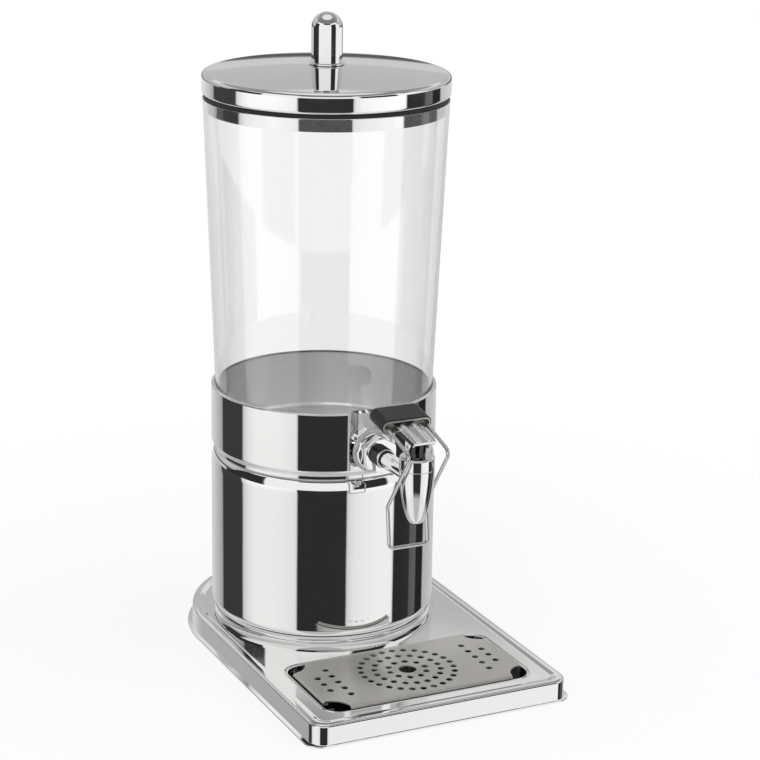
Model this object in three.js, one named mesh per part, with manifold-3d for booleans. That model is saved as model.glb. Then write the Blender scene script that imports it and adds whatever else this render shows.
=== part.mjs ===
// A buffet juice dispenser: a stamped base with a drip tray, a steel pedestal,
// a clear tapered container with a lift-off lid, and a self-closing tap worked by a wire bail.
// Millimetres, +Z up. The origin is on the table, under the middle of the base. The front is -Y.
// Depths named "Front" are counted from the upright axis of the container towards the front.
import * as THREE from "three";
import { mergeVertices } from "three/addons/utils/BufferGeometryUtils.js";
import Module from "manifold-3d";

// Base pan, pressed from sheet
const baseMargin = 17; // side wall outside the pedestal's
const frontMargin = 67.4; // middle of the tray to the front wall
const baseCorner = 13; // radius of the two front corners
const baseHeight = 19.3; // table to the rim
const baseSheet = 1.2;
const baseEdgeRound = 2.4; // rounding of the rim's outer edge
const flangeReach = 4.2; // foot flange beyond the side walls
const frontFlangeReach = 0.6; // the flange fades out along the front
const rimWidth = 6.1;
const rimStepRun = 3.2; // sloped step from the rim to the deck
const rimStepDrop = 1.1;
const cornerShrinkShare = 0.6; // how much of an inset comes off a corner's radius
const footLift = 1; // flange above the table

// Raised boss of the base under the pedestal
const bossHeight = 2.8; // above the deck
const bossMargin = 1.4; // its edge outside the pedestal's wall
const bossShoulder = 7.5; // radial width of its rounded edge

// Well for the drip tray, the tray, and its perforated cover
const trayReach = 71.9; // pedestal's wall to the middle of the tray
const wellMargin = 20.6; // well's side inside the side wall
const wellHalfDepth = 48;
const wellCorner = 15;
const wellDepth = 14; // below the deck
const wellEdgeRound = 1.8;
const trayClearance = 0.6; // tray wall to well wall
const traySheet = 0.8;
const trayDrop = 0.5; // tray rim below the deck
const seatGap = 0.1; // under pieces that lift out
const coverGap = 3; // at its two ends
const coverHalfDepth = 45.8;
const coverSheet = 1;
const coverRise = 2.2; // cover above the deck
const coverBend = 2.6; // bend radius of its turned-down edges
const coverNotch = 16.5; // quarter-round notch at each corner
const coverEdgeGap = 3; // under its two long edges, for juice to run below
const drainRadius = 7.2; // middle hole
const holeRadius = 2.7;
const ringRadii = [15.4, 26.9, 38.1]; // rings of small holes round the middle
const ringCounts = [10, 18, 26];
const columnInsets = [26.5, 14.1]; // columns of small holes, from each end of the cover
const columnCounts = [5, 3];
const columnPitch = 12.2;

// Bottom cover and rubber feet
const coverPlateSheet = 1;
const coverPlateClearance = 0.3;
const footRadius = 9;
const footNeckRadius = 4;
const footBarbRadius = 5;
const footBarbHeight = 2;
const footInset = 16; // foot centre inside the side wall
const footBackAngle = 55; // degrees from the back of the base

// Pedestal
const housingRadius = 94.6;
const housingSheet = 1.2;
const housingFootRound = 7;
const gasketThickness = 0.9;
const gasketSetback = 1.2; // gasket edge inside the foot's round
const housingFlangeWidth = 34.6; // its foot, turned in
const grooveDepth = 3.6; // groove inside the wall
const housingHeight = 140.6; // its foot to the foot of the ring
const shoulderHeight = 12; // height of the rounded shoulder below the groove
const boltInset = 20.6; // bolt circle inside the wall
const boltCount = 3;
const boltRadius = 2.5;
const boltHoleClearance = 0.2;
const boltHeadRadius = 4.6;
const boltHeadHeight = 3.4;
const nutHeight = 4;
const boltOverhang = 1.5; // bolt end above its nut

// Ring that takes the container
const ringHeight = 54; // above the pedestal
const ringFootRound = 3.4;
const grooveHeight = 2.6;
const ringLipWidth = 2.4;
const ringLipRound = 1.6;
const ringFlangeWidth = 14.6;
const slotHalfWidth = 19.5; // open slot at the front, for the tap
const slotSill = 3; // upright wall left under the slot
const slotCorner = 5;

// Cold pack in its cup, and the cold plate under the container
const cupSheet = 0.8;
const cupClearance = 0.6;
const cupFlange = 7.5;
const cupDepth = 31;
const packHeight = 27;
const packRound = 5;
const packClearance = 1.2;
const packFillRadius = 11;
const packFillHeight = 1.2;
const coldPlateThickness = 1;

// Container
const containerGap = 0.9; // inside the ring's lip
const containerFlare = 9.2; // wider at the top than level with the lip
const containerRise = 241; // its top above the ring's
const containerWall = 2.6;
const containerFloorRound = 5;
const padReach = 4.2; // flat face of the moulded pad for the tap, in front of the wall
const padHalfWidth = 13;
const padBelow = 10.8; // pad's foot below the shank's axis
const padAbove = 32.5; // pad's top above it
const padCorner = 4.5;
const padDepth = 9.5; // the pad starts inside the wall
const padDraft = 5.7; // how much wider each side is at the root
const padEndDraft = 1.4;
const innerBossRadius = 14; // flat seat inside
const innerBossReach = 5.9; // behind the wall's outside

// Lid
const lidOverhang = 1;
const lidSheet = 1.2;
const lidShoulder = 4;
const lidHemRound = 3;
const lidHemWidth = 4.1;
const lidBandHeight = 17.4; // hem to the shoulder's top
const lidCrown = 6.2; // rise of the top from the shoulder to the knob
const sealThickness = 2.8;
const skirtGap = 0.3; // inside the hem
const skirtSheet = 1;
const skirtDepth = 13.4; // below the hem
const knobRadius = 12.8;
const knobLength = 40.6;
const knobFootRadius = 14.4;
const knobFootThickness = 1.6;
const knobFootRound = 0.6;
const screwRadius = 2;
const screwHeadRadius = 4.4;
const screwHeadHeight = 2.6;
const screwEngagement = 12;
const screwClearance = 0.3;

// Tap: shank through the wall
const tapRise = 13; // shank axis above the slot's foot
const shankRadius = 6.5;
const shankBore = 4.4;
const shankInside = 15.4; // inner end behind the seat
const holeClearance = 0.25;
const pieceGap = 0.1; // between neighbours along the shank
const washerRadius = 18;
const washerThickness = 2.4;
const washerRound = 0.9;
const domeRadius = 16; // domed flange in front of the washer
const domeFrontRadius = 13.6;
const domeThickness = 3.8;
const nutAcrossFlats = 26.5;
const nutLength = 9.9;
const nutChamfer = 0.8;
const threadRadius = 8.5; // ribbed collar
const threadDepth = 0.7;
const threadLength = 6.9;
const threadRibs = 4;
const brightRingRadius = 8;
const brightRingLength = 2.4;
const darkRingRadius = 7.2;
const darkRingLength = 2.2;
const innerWasherRadius = 12.5;
const innerWasherThickness = 2.4;
const lockNutAcrossFlats = 25;
const lockNutLength = 7.5;

// Tap: bullet-shaped body
const nozzleReach = 80.1; // pad's face to the axis of the nozzle
const nozzleDrop = 34.5; // its tip below the shank's axis
const nozzleRise = 20.3; // its top above the shank's axis
const nozzleRadius = 14;
const nozzleTopRound = 1.6;
const nozzleTipRadius = 5.5;
const nozzleTipRound = 0.7;
const taperRise = 9; // the taper starts this far above the shank's axis
const nozzleTaperShares = [ // up from the tip to the straight part, and out from its radius
  [0.02, 0.03],
  [0.06, 0.16],
  [0.12, 0.305],
  [0.23, 0.49],
  [0.36, 0.63],
  [0.48, 0.74],
  [0.6, 0.84],
  [0.72, 0.92],
  [0.86, 0.975],
  [1, 1],
];
const nozzleBore = 4;
const seatDrop = 8.5; // valve seat below the shank's axis
const chamberRadius = 7;
const bodyRoof = 2.4; // over the valve chamber
const seamRise = 0.7; // above the start of the taper
const seamWidth = 0.5;
const seamDepth = 0.35;

// Tap: neck, crank, stem, seal and spring
const neckFootRadius = 6.5;
const neckRadius = 7.5;
const neckCavityRadius = 6.2;
const neckHeight = 11.2;
const neckFloorRise = 4.8; // floor of its cavity above the body
const neckCollarRadius = 5.4; // through the top of the body
const pivotRise = 8.2; // lever's pivot above the body
const journalRadius = 1.6;
const leverTravel = 20; // degrees
const crankThrow = 3.2;
const crankPinRadius = 1.2;
const crankWebRadius = 1.8;
const crankWebThickness = 1;
const crankPinHalfLength = 2.3;
const stemRadius = 2.1;
const runningGap = 0.1;
const yokeThickness = 3.4;
const yokeWindow = 0.3; // round the crank pin
const yokeFrame = 0.9;
const sealRadius = 6.1;
const sealHeight = 3.2;
const stemCollarRadius = 5.6;
const stemCollarHeight = 1.2;
const springRadius = 4.3;
const springWire = 0.45;
const springTurns = 5;

// Lever: plate, insert, grip and bail, in a frame tilted about the pivot
const leverTilt = 10.5; // degrees, front end down
const plateTop = 8.9; // above the pivot, square to the plate
const plateSheet = 1.5;
const plateFrontHalf = 9.6;
const plateBackHalf = 11.2;
const plateFrontEnd = 11.8; // in front of the pivot
const plateBackEnd = 34; // behind the pivot
const plateLip = 2.3; // turned-down front edge
const plateRib = 1; // height of the pressed ribs
const plateRibWidth = 5.4;
const cheekThickness = 1.2;
const cheekRadius = 3.4; // round the journal
const cheekDrop = 2.6; // flange depth along the plate's sides
const insertHalfWidth = 20.7; // metal insert that carries plate and bail inside the grip
const insertHalfHeight = 4.95;
const insertWall = 1.1;
const insertPocket = 7; // depth of the open front
const insertCentre = 7.1; // above the pivot, square to the plate
const insertFrontEnd = 20.2;
const insertBackEnd = 40;
const insertClearance = 0.15; // round the plate and the wire
const gripSetback = 0.8; // the insert stands proud of the grip
const gripWall = 0.9;
const gripBackEnd = 46;
const gripRound = 3.4;
const gripClearance = 0.1;
const bailWire = 3; // diameter
const bailHalfWidth = 16.9;
const bailBendRadius = 5;
const bailCornerRadius = 4.2;
const bailRootBack = 37; // wire ends inside the insert
const bailRootRise = 7.6;
const bailBowFront = 21.9; // bow in front of the nozzle
const bailBowRise = 3.2;
const bailKneeBack = 6.2; // knee beside the nozzle's tip
const bailKneeDrop = 56.2;
const bailBarFront = 4.3; // bar that a cup pushes
const bailBarDrop = 88.3;

// Facets
const roundSegments = 36; // large round pieces
const innerSegments = 24; // round pieces that are out of sight
const tapSegments = 20;
const smallSegments = 16;
const tinySegments = 10;
const holeSegments = 6;
const cornerSteps = 3;
const hiddenSteps = 2; // inside corners
const wireSides = 8;
const bailSteps = 52;
const springSides = 5;
const springStepsPerTurn = 8;
const overrun = 2; // how far a cutter passes a face
const mergeDistance = 1e-4;

// Radii and depths that follow the pedestal's
const bossRadius = housingRadius + bossMargin;
const grooveRadius = housingRadius - grooveDepth;
const housingFlangeInner = housingRadius - housingFlangeWidth;
const boltCircle = housingRadius - boltInset;
const ringLipInner = housingRadius - ringLipWidth;
const ringFlangeInner = housingRadius - ringFlangeWidth;
const containerRingRadius = ringLipInner - containerGap; // level with the ring's top
const containerTopRadius = containerRingRadius + containerFlare;
const padFront = containerRingRadius + padReach;
const padRootFront = padFront - padDepth;
const innerBossFront = containerRingRadius - innerBossReach;
const shankInnerFront = innerBossFront - shankInside;
const nozzleFront = padFront + nozzleReach;
const lidRadius = containerTopRadius + lidOverhang;
const lidHemInner = lidRadius - lidHemWidth;
const skirtRadius = lidHemInner - skirtGap;
const baseHalfWidth = housingRadius + baseMargin; // also the radius of the round back
const wellHalfWidth = baseHalfWidth - wellMargin;
const coverHalfWidth = wellHalfWidth - coverGap;
const trayFront = housingRadius + trayReach;
const baseFront = trayFront + frontMargin;

// Heights that several pieces share
const deckTop = baseHeight - rimStepDrop;
const bossTop = deckTop + bossHeight;
const housingFoot = bossTop + gasketThickness;
const housingTop = housingFoot + housingHeight;
const ringFloor = housingTop + housingSheet;
const ringTop = housingTop + ringHeight;
const slotFoot = housingTop + grooveHeight + ringFootRound + slotSill;
const coldPlateFoot = ringFloor + cupSheet;
const containerFoot = coldPlateFoot + coldPlateThickness + seatGap;
const containerTop = ringTop + containerRise;
const containerSlope = (containerTopRadius - containerRingRadius) / (containerTop - ringTop);
const wellFloor = deckTop - wellDepth;
const lidHem = containerTop + sealThickness;
const lidShoulderTop = lidHem + lidBandHeight;
const lidTop = lidShoulderTop + lidCrown;
const axisBack = (baseFront + frontFlangeReach - baseHalfWidth - flangeReach) / 2;
const tapHeight = slotFoot + tapRise;
const padFoot = tapHeight - padBelow;
const padTop = tapHeight + padAbove;
const nozzleTip = tapHeight - nozzleDrop;
const nozzleTop = tapHeight + nozzleRise;
const nozzleStraightTo = tapHeight + taperRise;
const seatHeight = tapHeight - seatDrop;
const chamberTop = nozzleTop - bodyRoof;
const seamHeight = nozzleStraightTo + seamRise;
const neckTop = nozzleTop + neckHeight;
const neckFloor = nozzleTop + neckFloorRise;
const pivotHeight = nozzleTop + pivotRise;
const springFoot = seatHeight + seatGap + sealHeight + stemCollarHeight;

const wasm = await Module();
wasm.setup();

const radians = THREE.MathUtils.degToRad;

// A closed geometry as a solid: shared corners are merged and collapsed triangles dropped.
function toSolid(geometry) {
  const source = geometry.index ? geometry.toNonIndexed() : geometry;
  const bare = new THREE.BufferGeometry();
  bare.setAttribute("position", source.getAttribute("position"));
  const merged = mergeVertices(bare, mergeDistance);
  const all = merged.index.array;
  const kept = [];
  for (let i = 0; i < all.length; i += 3) {
    const [a, b, c] = [all[i], all[i + 1], all[i + 2]];
    if (a !== b && b !== c && c !== a) kept.push(a, b, c);
  }
  const vertProperties = merged.attributes.position.array;
  const triVerts = new Uint32Array(kept);
  return new wasm.Manifold(new wasm.Mesh({ numProp: 3, vertProperties, triVerts }));
}

function toGeometry(solid) {
  const { vertProperties, triVerts } = solid.getMesh();
  const geometry = new THREE.BufferGeometry();
  geometry.setAttribute("position", new THREE.BufferAttribute(vertProperties, 3));
  geometry.setIndex(new THREE.BufferAttribute(triVerts, 1));
  const faceted = geometry.toNonIndexed();
  faceted.computeVertexNormals();
  return faceted;
}

const join = (first, ...rest) => rest.reduce((sum, next) => sum.add(next), first);
const cut = (first, ...rest) => rest.reduce((sum, next) => sum.subtract(next), first);

// Points on an arc or ellipse quarter, in degrees, ends included.
function arc(x, y, radiusX, radiusY, from, to, steps = cornerSteps) {
  return Array.from({ length: steps + 1 }, (_, i) => {
    const angle = radians(from + ((to - from) * i) / steps);
    return [x + radiusX * Math.cos(angle), y + radiusY * Math.sin(angle)];
  });
}

// A [radius, height] profile turned about Z. It runs up the outside and down the inside.
function turned(profile, segments = roundSegments) {
  const closed = profile[0][0] === 0 ? profile : [...profile, profile[0]];
  const points = closed.map(([radius, height]) => new THREE.Vector2(radius, height));
  return toSolid(new THREE.LatheGeometry(points, segments).rotateX(Math.PI / 2));
}

// Level outlines of the same count of points, skinned in order and capped at both ends.
function skinned(rings) {
  const count = rings[0].length;
  const corners = rings.flat();
  const faces = [];
  for (let level = 0; level + 1 < rings.length; level += 1) {
    for (let i = 0; i < count; i += 1) {
      const a = level * count + i;
      const b = level * count + ((i + 1) % count);
      faces.push(a, b, b + count, a, b + count, a + count);
    }
  }
  const contour = (ring) => ring.map((p) => new THREE.Vector2(p.x, p.y));
  const lastStart = (rings.length - 1) * count;
  for (const [a, b, c] of THREE.ShapeUtils.triangulateShape(contour(rings[0]), [])) faces.push(c, b, a);
  for (const [a, b, c] of THREE.ShapeUtils.triangulateShape(contour(rings.at(-1)), [])) {
    faces.push(lastStart + a, lastStart + b, lastStart + c);
  }
  const geometry = new THREE.BufferGeometry().setFromPoints(corners);
  geometry.setIndex(faces);
  return toSolid(geometry);
}

const atHeight = (outline, z) => outline.map(([x, y]) => new THREE.Vector3(x, y, z));

// The base's outline: a round back about the axis, straight sides, two rounded front corners.
function baseOutline(half, front, corner) {
  return [
    ...arc(0, 0, half, half, 0, 180, roundSegments / 2),
    ...arc(corner - half, corner - front, corner, corner, 180, 270),
    ...arc(half - corner, corner - front, corner, corner, 270, 360),
  ];
}

function baseRing(inset, z) {
  const corner = baseCorner - inset * cornerShrinkShare;
  return atHeight(baseOutline(baseHalfWidth - inset, baseFront - inset, corner), z);
}

// A rounded rectangle centred on the drip tray.
function trayRing(halfWidth, halfDepth, corner, z) {
  const [x, y] = [halfWidth - corner, halfDepth - corner];
  const outline = [
    ...arc(x, y - trayFront, corner, corner, 0, 90),
    ...arc(-x, y - trayFront, corner, corner, 90, 180),
    ...arc(-x, -y - trayFront, corner, corner, 180, 270),
    ...arc(x, -y - trayFront, corner, corner, 270, 360),
  ];
  return atHeight(outline, z);
}

const wellRing = (outset, z) =>
  trayRing(wellHalfWidth + outset, wellHalfDepth + outset, wellCorner + outset, z);

// An upright cylinder, and one that runs from back to front at the height of the tap.
function post(radius, bottom, top, segments = smallSegments) {
  return turned([[0, bottom], [radius, bottom], [radius, top], [0, top]], segments);
}

// A profile of [radius, distance to the front] turned about the shank's axis.
function alongShank(profile, segments = smallSegments) {
  const solid = turned(profile, segments);
  return solid.rotate([90, 0, 0]).translate([0, 0, tapHeight]);
}

// An upright [x, z] outline as a bar between two distances to the front.
function frontPrism(outline, back, front, backOutline = outline) {
  return skinned([atHeight(backOutline, back), atHeight(outline, front)]).rotate([90, 0, 0]);
}

// A hexagonal bar along Z with flats facing +X and -X once it lies along the shank.
function hexagon(acrossFlats, bottom, top) {
  const cornerRadius = acrossFlats / Math.sqrt(3);
  const outline = Array.from({ length: 6 }, (_, i) => {
    const angle = radians(30 + i * 60);
    return [cornerRadius * Math.cos(angle), cornerRadius * Math.sin(angle)];
  });
  return skinned([atHeight(outline, bottom), atHeight(outline, top)]);
}

// A box between two corners.
function block([x0, y0, z0], [x1, y1, z1]) {
  const geometry = new THREE.BoxGeometry(x1 - x0, y1 - y0, z1 - z0);
  geometry.translate((x0 + x1) / 2, (y0 + y1) / 2, (z0 + z1) / 2);
  return toSolid(geometry);
}

const steel = (color = 0xd8d8da, roughness = 0.12) =>
  new THREE.MeshStandardMaterial({ color, roughness, metalness: 1 });
const plastic = (color, roughness = 0.5) =>
  new THREE.MeshStandardMaterial({ color, roughness, metalness: 0 });
const finish = {
  polished: () => steel(),
  brushed: () => steel(0xb9b8b6, 0.42),
  chrome: () => steel(0xe4e4e6, 0.06),
  dark: () => steel(0x2a2a2c, 0.2),
  zinc: () => steel(0xb4b6b8, 0.35),
  rubber: () => plastic(0x1c1c1d, 0.8),
  black: () => plastic(0x2b2b2c, 0.45),
  silicone: () => plastic(0xd9d4d0, 0.4),
  coldPack: () => plastic(0x9fb8cc, 0.45),
  clear: () =>
    new THREE.MeshStandardMaterial({
      color: 0xf4f5f6,
      roughness: 0.05,
      metalness: 0,
      transparent: true,
      opacity: 0.3,
    }),
};

function piece(name, solid, material) {
  const mesh = new THREE.Mesh(toGeometry(solid), material);
  mesh.name = name;
  return mesh;
}

// Base pan: flange, walls, rounded rim, sloped step, deck, tray well and boss.
function basePan() {
  const flangeRing = (z) => {
    const corner = baseCorner + frontFlangeReach;
    return atHeight(baseOutline(baseHalfWidth + flangeReach, baseFront + frontFlangeReach, corner), z);
  };
  const roundCentre = baseHeight - baseEdgeRound;
  const edge = arc(baseEdgeRound, roundCentre, baseEdgeRound, baseEdgeRound, 180, 90, 3);
  const shell = skinned([
    baseRing(rimWidth + rimStepRun, deckTop - baseSheet),
    baseRing(rimWidth, baseHeight - baseSheet),
    baseRing(baseEdgeRound, baseHeight - baseSheet),
    baseRing(baseSheet, roundCentre),
    baseRing(baseSheet, footLift),
    flangeRing(footLift),
    flangeRing(footLift + baseSheet),
    baseRing(0, footLift + baseSheet),
    ...edge.map(([inset, z]) => baseRing(inset, z)),
    baseRing(rimWidth, baseHeight),
    baseRing(rimWidth + rimStepRun, deckTop),
  ]);
  const well = skinned([
    wellRing(baseSheet, wellFloor - baseSheet),
    wellRing(baseSheet, deckTop - baseSheet),
  ]);
  const mouth = arc(wellEdgeRound, deckTop - wellEdgeRound, wellEdgeRound, wellEdgeRound, 180, 90, 3);
  const hollow = skinned([
    wellRing(0, wellFloor),
    ...mouth.map(([outset, z]) => wellRing(outset, z)),
    wellRing(wellEdgeRound, deckTop + overrun),
  ]);
  const shoulder = arc(bossRadius - bossShoulder, deckTop, bossShoulder, bossHeight, 0, 90);
  const bossFoot = deckTop - baseSheet;
  const boss = turned([[0, bossFoot], [bossRadius, bossFoot], ...shoulder, [0, bossTop]]);
  const hollowRadius = bossRadius - bossShoulder - baseSheet;
  const bossHollow = post(hollowRadius, deckTop - baseSheet - overrun, bossTop - baseSheet, roundSegments);
  const pan = cut(join(shell, well, boss), hollow, bossHollow, ...boltHoles());
  return piece("base_pan", pan, finish.polished());
}

const boltPlaces = Array.from({ length: boltCount }, (_, i) => {
  const angle = radians(90 + (i * 360) / boltCount);
  return [boltCircle * Math.cos(angle), boltCircle * Math.sin(angle)];
});

// Drills for the bolts that hold the pedestal to the base.
function boltHoles() {
  const drill = post(boltRadius + boltHoleClearance, 0, housingFoot + housingSheet + overrun, tinySegments);
  return boltPlaces.map(([x, y]) => drill.translate([x, y, 0]));
}

function footPlaces() {
  const side = baseHalfWidth - footInset;
  const angle = radians(footBackAngle);
  const back = [side * Math.sin(angle), side * Math.cos(angle)];
  const front = [side, footInset - baseFront];
  return {
    front_left: [-front[0], front[1]],
    front_right: front,
    back_left: [-back[0], back[1]],
    back_right: back,
  };
}

// Bottom cover inside the foot of the pan, with a hole for each push-in foot.
function bottomCover() {
  const inset = baseSheet + coverPlateClearance;
  const plate = skinned([baseRing(inset, footLift), baseRing(inset, footLift + coverPlateSheet)]);
  const drillTop = footLift + coverPlateSheet + overrun;
  const drill = post(footNeckRadius + pieceGap, -overrun, drillTop, tinySegments);
  const holes = Object.values(footPlaces()).map(([x, y]) => drill.translate([x, y, 0]));
  return piece("bottom_cover", cut(plate, ...holes), finish.brushed());
}

function rubberFeet() {
  const plateTopHeight = footLift + coverPlateSheet;
  const foot = turned(
    [
      [0, 0],
      [footRadius, 0],
      [footRadius, footLift],
      [footNeckRadius, footLift],
      [footNeckRadius, plateTopHeight],
      [footBarbRadius, plateTopHeight],
      [footNeckRadius - pieceGap, plateTopHeight + footBarbHeight],
      [0, plateTopHeight + footBarbHeight],
    ],
    tinySegments,
  );
  return Object.entries(footPlaces()).map(([name, [x, y]]) =>
    piece("rubber_foot_" + name, foot.translate([x, y, 0]), finish.rubber()),
  );
}

// Bolts come up through base and pedestal, and take a nut inside.
function pedestalBolts() {
  const flangeTop = housingFoot + housingSheet;
  const headTop = bossTop - baseSheet;
  const nutTop = flangeTop + nutHeight;
  const shankTop = nutTop + boltOverhang;
  const shank = post(boltRadius, headTop - boltHeadHeight / 2, shankTop, tinySegments);
  const head = hexagon(boltHeadRadius * Math.sqrt(3), headTop - boltHeadHeight, headTop);
  const bolt = join(head, shank);
  const nutHole = post(boltRadius + pieceGap, flangeTop - overrun, nutTop + overrun, tinySegments);
  const nut = cut(hexagon(boltHeadRadius * Math.sqrt(3), flangeTop, nutTop), nutHole);
  return boltPlaces.flatMap(([x, y], i) => [
    piece("pedestal_bolt_" + (i + 1), bolt.translate([x, y, 0]), finish.zinc()),
    piece("pedestal_nut_" + (i + 1), nut.translate([x, y, 0]), finish.zinc()),
  ]);
}

// Pedestal shell: turned-in foot, straight wall, rounded shoulder and neck of the groove.
function housingShell() {
  const wall = (offset, steps) => [
    [housingFlangeInner, housingFoot + offset],
    ...arc(housingRadius - housingFootRound, housingFoot + housingFootRound,
      housingFootRound - offset, housingFootRound - offset, 270, 360, steps),
    ...arc(grooveRadius - offset, housingTop - grooveHeight - shoulderHeight,
      housingRadius - grooveRadius, shoulderHeight, 0, 90, steps),
    [grooveRadius - offset, housingTop],
  ];
  const profile = [...wall(0, cornerSteps), ...wall(housingSheet, hiddenSteps).reverse()];
  return piece("housing_shell", cut(turned(profile), ...boltHoles()), finish.polished());
}

function housingGasket() {
  const outer = housingRadius - housingFootRound - gasketSetback;
  const ring = turned([
    [housingFlangeInner, bossTop],
    [outer, bossTop],
    [outer, housingFoot],
    [housingFlangeInner, housingFoot],
  ], innerSegments);
  return piece("housing_gasket", cut(ring, ...boltHoles()), finish.rubber());
}

// Ring on the pedestal, open at the top and slotted at the front so that the tap lifts out.
function containerRing() {
  const inner = housingRadius - housingSheet;
  const wallFoot = housingTop + grooveHeight + ringFootRound;
  const lipCentre = ringTop - ringLipRound;
  const profile = [
    [ringFlangeInner, housingTop],
    [grooveRadius, housingTop],
    ...arc(housingRadius - ringFootRound, wallFoot, ringFootRound, ringFootRound, 270, 360),
    ...arc(housingRadius - ringLipRound, lipCentre, ringLipRound, ringLipRound, 0, 90, hiddenSteps),
    [ringLipInner, ringTop],
    [ringLipInner, ringTop - housingSheet],
    [inner, ringTop - housingSheet - (housingRadius - ringLipInner) / 2],
    [inner, wallFoot],
    [grooveRadius - housingSheet, wallFoot - ringFootRound],
    [grooveRadius - housingSheet, ringFloor],
    [ringFlangeInner, ringFloor],
  ];
  const slot = frontPrism([
    ...arc(slotCorner - slotHalfWidth, slotFoot + slotCorner, slotCorner, slotCorner, 180, 270),
    ...arc(slotHalfWidth - slotCorner, slotFoot + slotCorner, slotCorner, slotCorner, 270, 360),
    [slotHalfWidth, ringTop + overrun],
    [-slotHalfWidth, ringTop + overrun],
  ], ringFlangeInner, housingRadius + overrun);
  return piece("container_ring", cut(turned(profile), slot), finish.polished());
}

// Cup that hangs in the ring's floor and holds the cold pack.
function packCup() {
  const radius = ringFlangeInner - cupClearance;
  const floor = coldPlateFoot - cupDepth;
  const profile = [
    [0, floor],
    [radius, floor],
    [radius, ringFloor],
    [radius + cupFlange, ringFloor],
    [radius + cupFlange, coldPlateFoot],
    [radius - cupSheet, coldPlateFoot],
    [radius - cupSheet, floor + cupSheet],
    [0, floor + cupSheet],
  ];
  return piece("pack_cup", turned(profile, innerSegments), finish.brushed());
}

function coldPack() {
  const radius = ringFlangeInner - cupClearance - cupSheet - packClearance;
  const foot = coldPlateFoot - cupDepth + cupSheet + seatGap;
  const top = foot + packHeight;
  const profile = [
    [0, foot],
    ...arc(radius - packRound, foot + packRound, packRound, packRound, 270, 360, hiddenSteps),
    ...arc(radius - packRound, top - packRound, packRound, packRound, 0, 90, hiddenSteps),
    [packFillRadius, top],
    [packFillRadius, top + packFillHeight],
    [0, top + packFillHeight],
  ];
  return piece("cold_pack", turned(profile, innerSegments), finish.coldPack());
}

function coldPlate() {
  const radius = ringFlangeInner - cupClearance + cupFlange;
  const plate = post(radius, coldPlateFoot, coldPlateFoot + coldPlateThickness, roundSegments);
  return piece("cold_plate", plate, finish.brushed());
}

// Drip tray: a shallow pan in the well.
function dripTray() {
  const half = (inset) => [wellHalfWidth - inset, wellHalfDepth - inset, wellCorner - inset];
  const outside = half(trayClearance);
  const inside = half(trayClearance + traySheet);
  const foot = wellFloor + seatGap;
  const rim = deckTop - trayDrop;
  const tray = skinned([
    trayRing(...outside, foot),
    trayRing(...outside, rim),
    trayRing(...inside, rim),
    trayRing(...inside, foot + traySheet),
  ]);
  return piece("drip_tray", tray, finish.polished());
}

// Places of the cover's small holes: rings round the middle, and columns at both sides.
function drainPlaces() {
  const places = ringRadii.flatMap((radius, ring) =>
    Array.from({ length: ringCounts[ring] }, (_, i) => {
      const angle = radians((i * 360) / ringCounts[ring]);
      return [radius * Math.cos(angle), radius * Math.sin(angle)];
    }),
  );
  columnInsets.forEach((inset, column) => {
    const offset = coverHalfWidth - inset;
    for (let i = 0; i < columnCounts[column]; i += 1) {
      const y = (i - (columnCounts[column] - 1) / 2) * columnPitch;
      places.push([offset, y], [-offset, y]);
    }
  });
  return places;
}

// Perforated cover: a plate with four turned-down edges, of which the two short ones stand in the tray.
function dripCover() {
  const top = deckTop + coverRise;
  const foot = wellFloor + seatGap + traySheet + seatGap;
  const ring = (inset, z) => trayRing(coverHalfWidth - inset, coverHalfDepth - inset, coverBend, z);
  const bend = arc(coverBend, top - coverBend, coverBend, coverBend, 180, 90, 3);
  const plate = skinned([
    ring(coverBend, top - coverSheet),
    ring(coverSheet, top - coverBend),
    ring(coverSheet, foot),
    ring(0, foot),
    ...bend.map(([inset, z]) => ring(inset, z)),
  ]);
  const corner = post(coverNotch, foot - overrun, top + overrun);
  const notches = [-1, 1].flatMap((x) => [-1, 1].map((y) =>
    corner.translate([x * coverHalfWidth, y * coverHalfDepth - trayFront, 0])));
  const edgeEnd = coverHalfWidth - coverNotch + coverSheet;
  const edgeReach = coverHalfDepth + overrun;
  const below = block(
    [-edgeEnd, -edgeReach - trayFront, foot - overrun],
    [edgeEnd, edgeReach - trayFront, foot + coverEdgeGap],
  );
  const drill = post(holeRadius, top - coverSheet - overrun, top + overrun, holeSegments);
  const holes = drainPlaces().map(([x, y]) => drill.translate([x, y - trayFront, 0]));
  const drain = post(drainRadius, top - coverSheet - overrun, top + overrun).translate([0, -trayFront, 0]);
  return piece("drip_cover", cut(plate, ...notches, below, drain, ...holes), finish.brushed());
}

// Outer radius of the container at a height.
const containerRadius = (z) => containerRingRadius + (z - ringTop) * containerSlope;

// Outline of the tap pad: square at the top, rounded at the foot.
function padOutline(halfWidth, foot, top) {
  return [
    ...arc(padCorner - halfWidth, foot + padCorner, padCorner, padCorner, 180, 270),
    ...arc(halfWidth - padCorner, foot + padCorner, padCorner, padCorner, 270, 360),
    [halfWidth, top],
    [-halfWidth, top],
  ];
}

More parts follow.
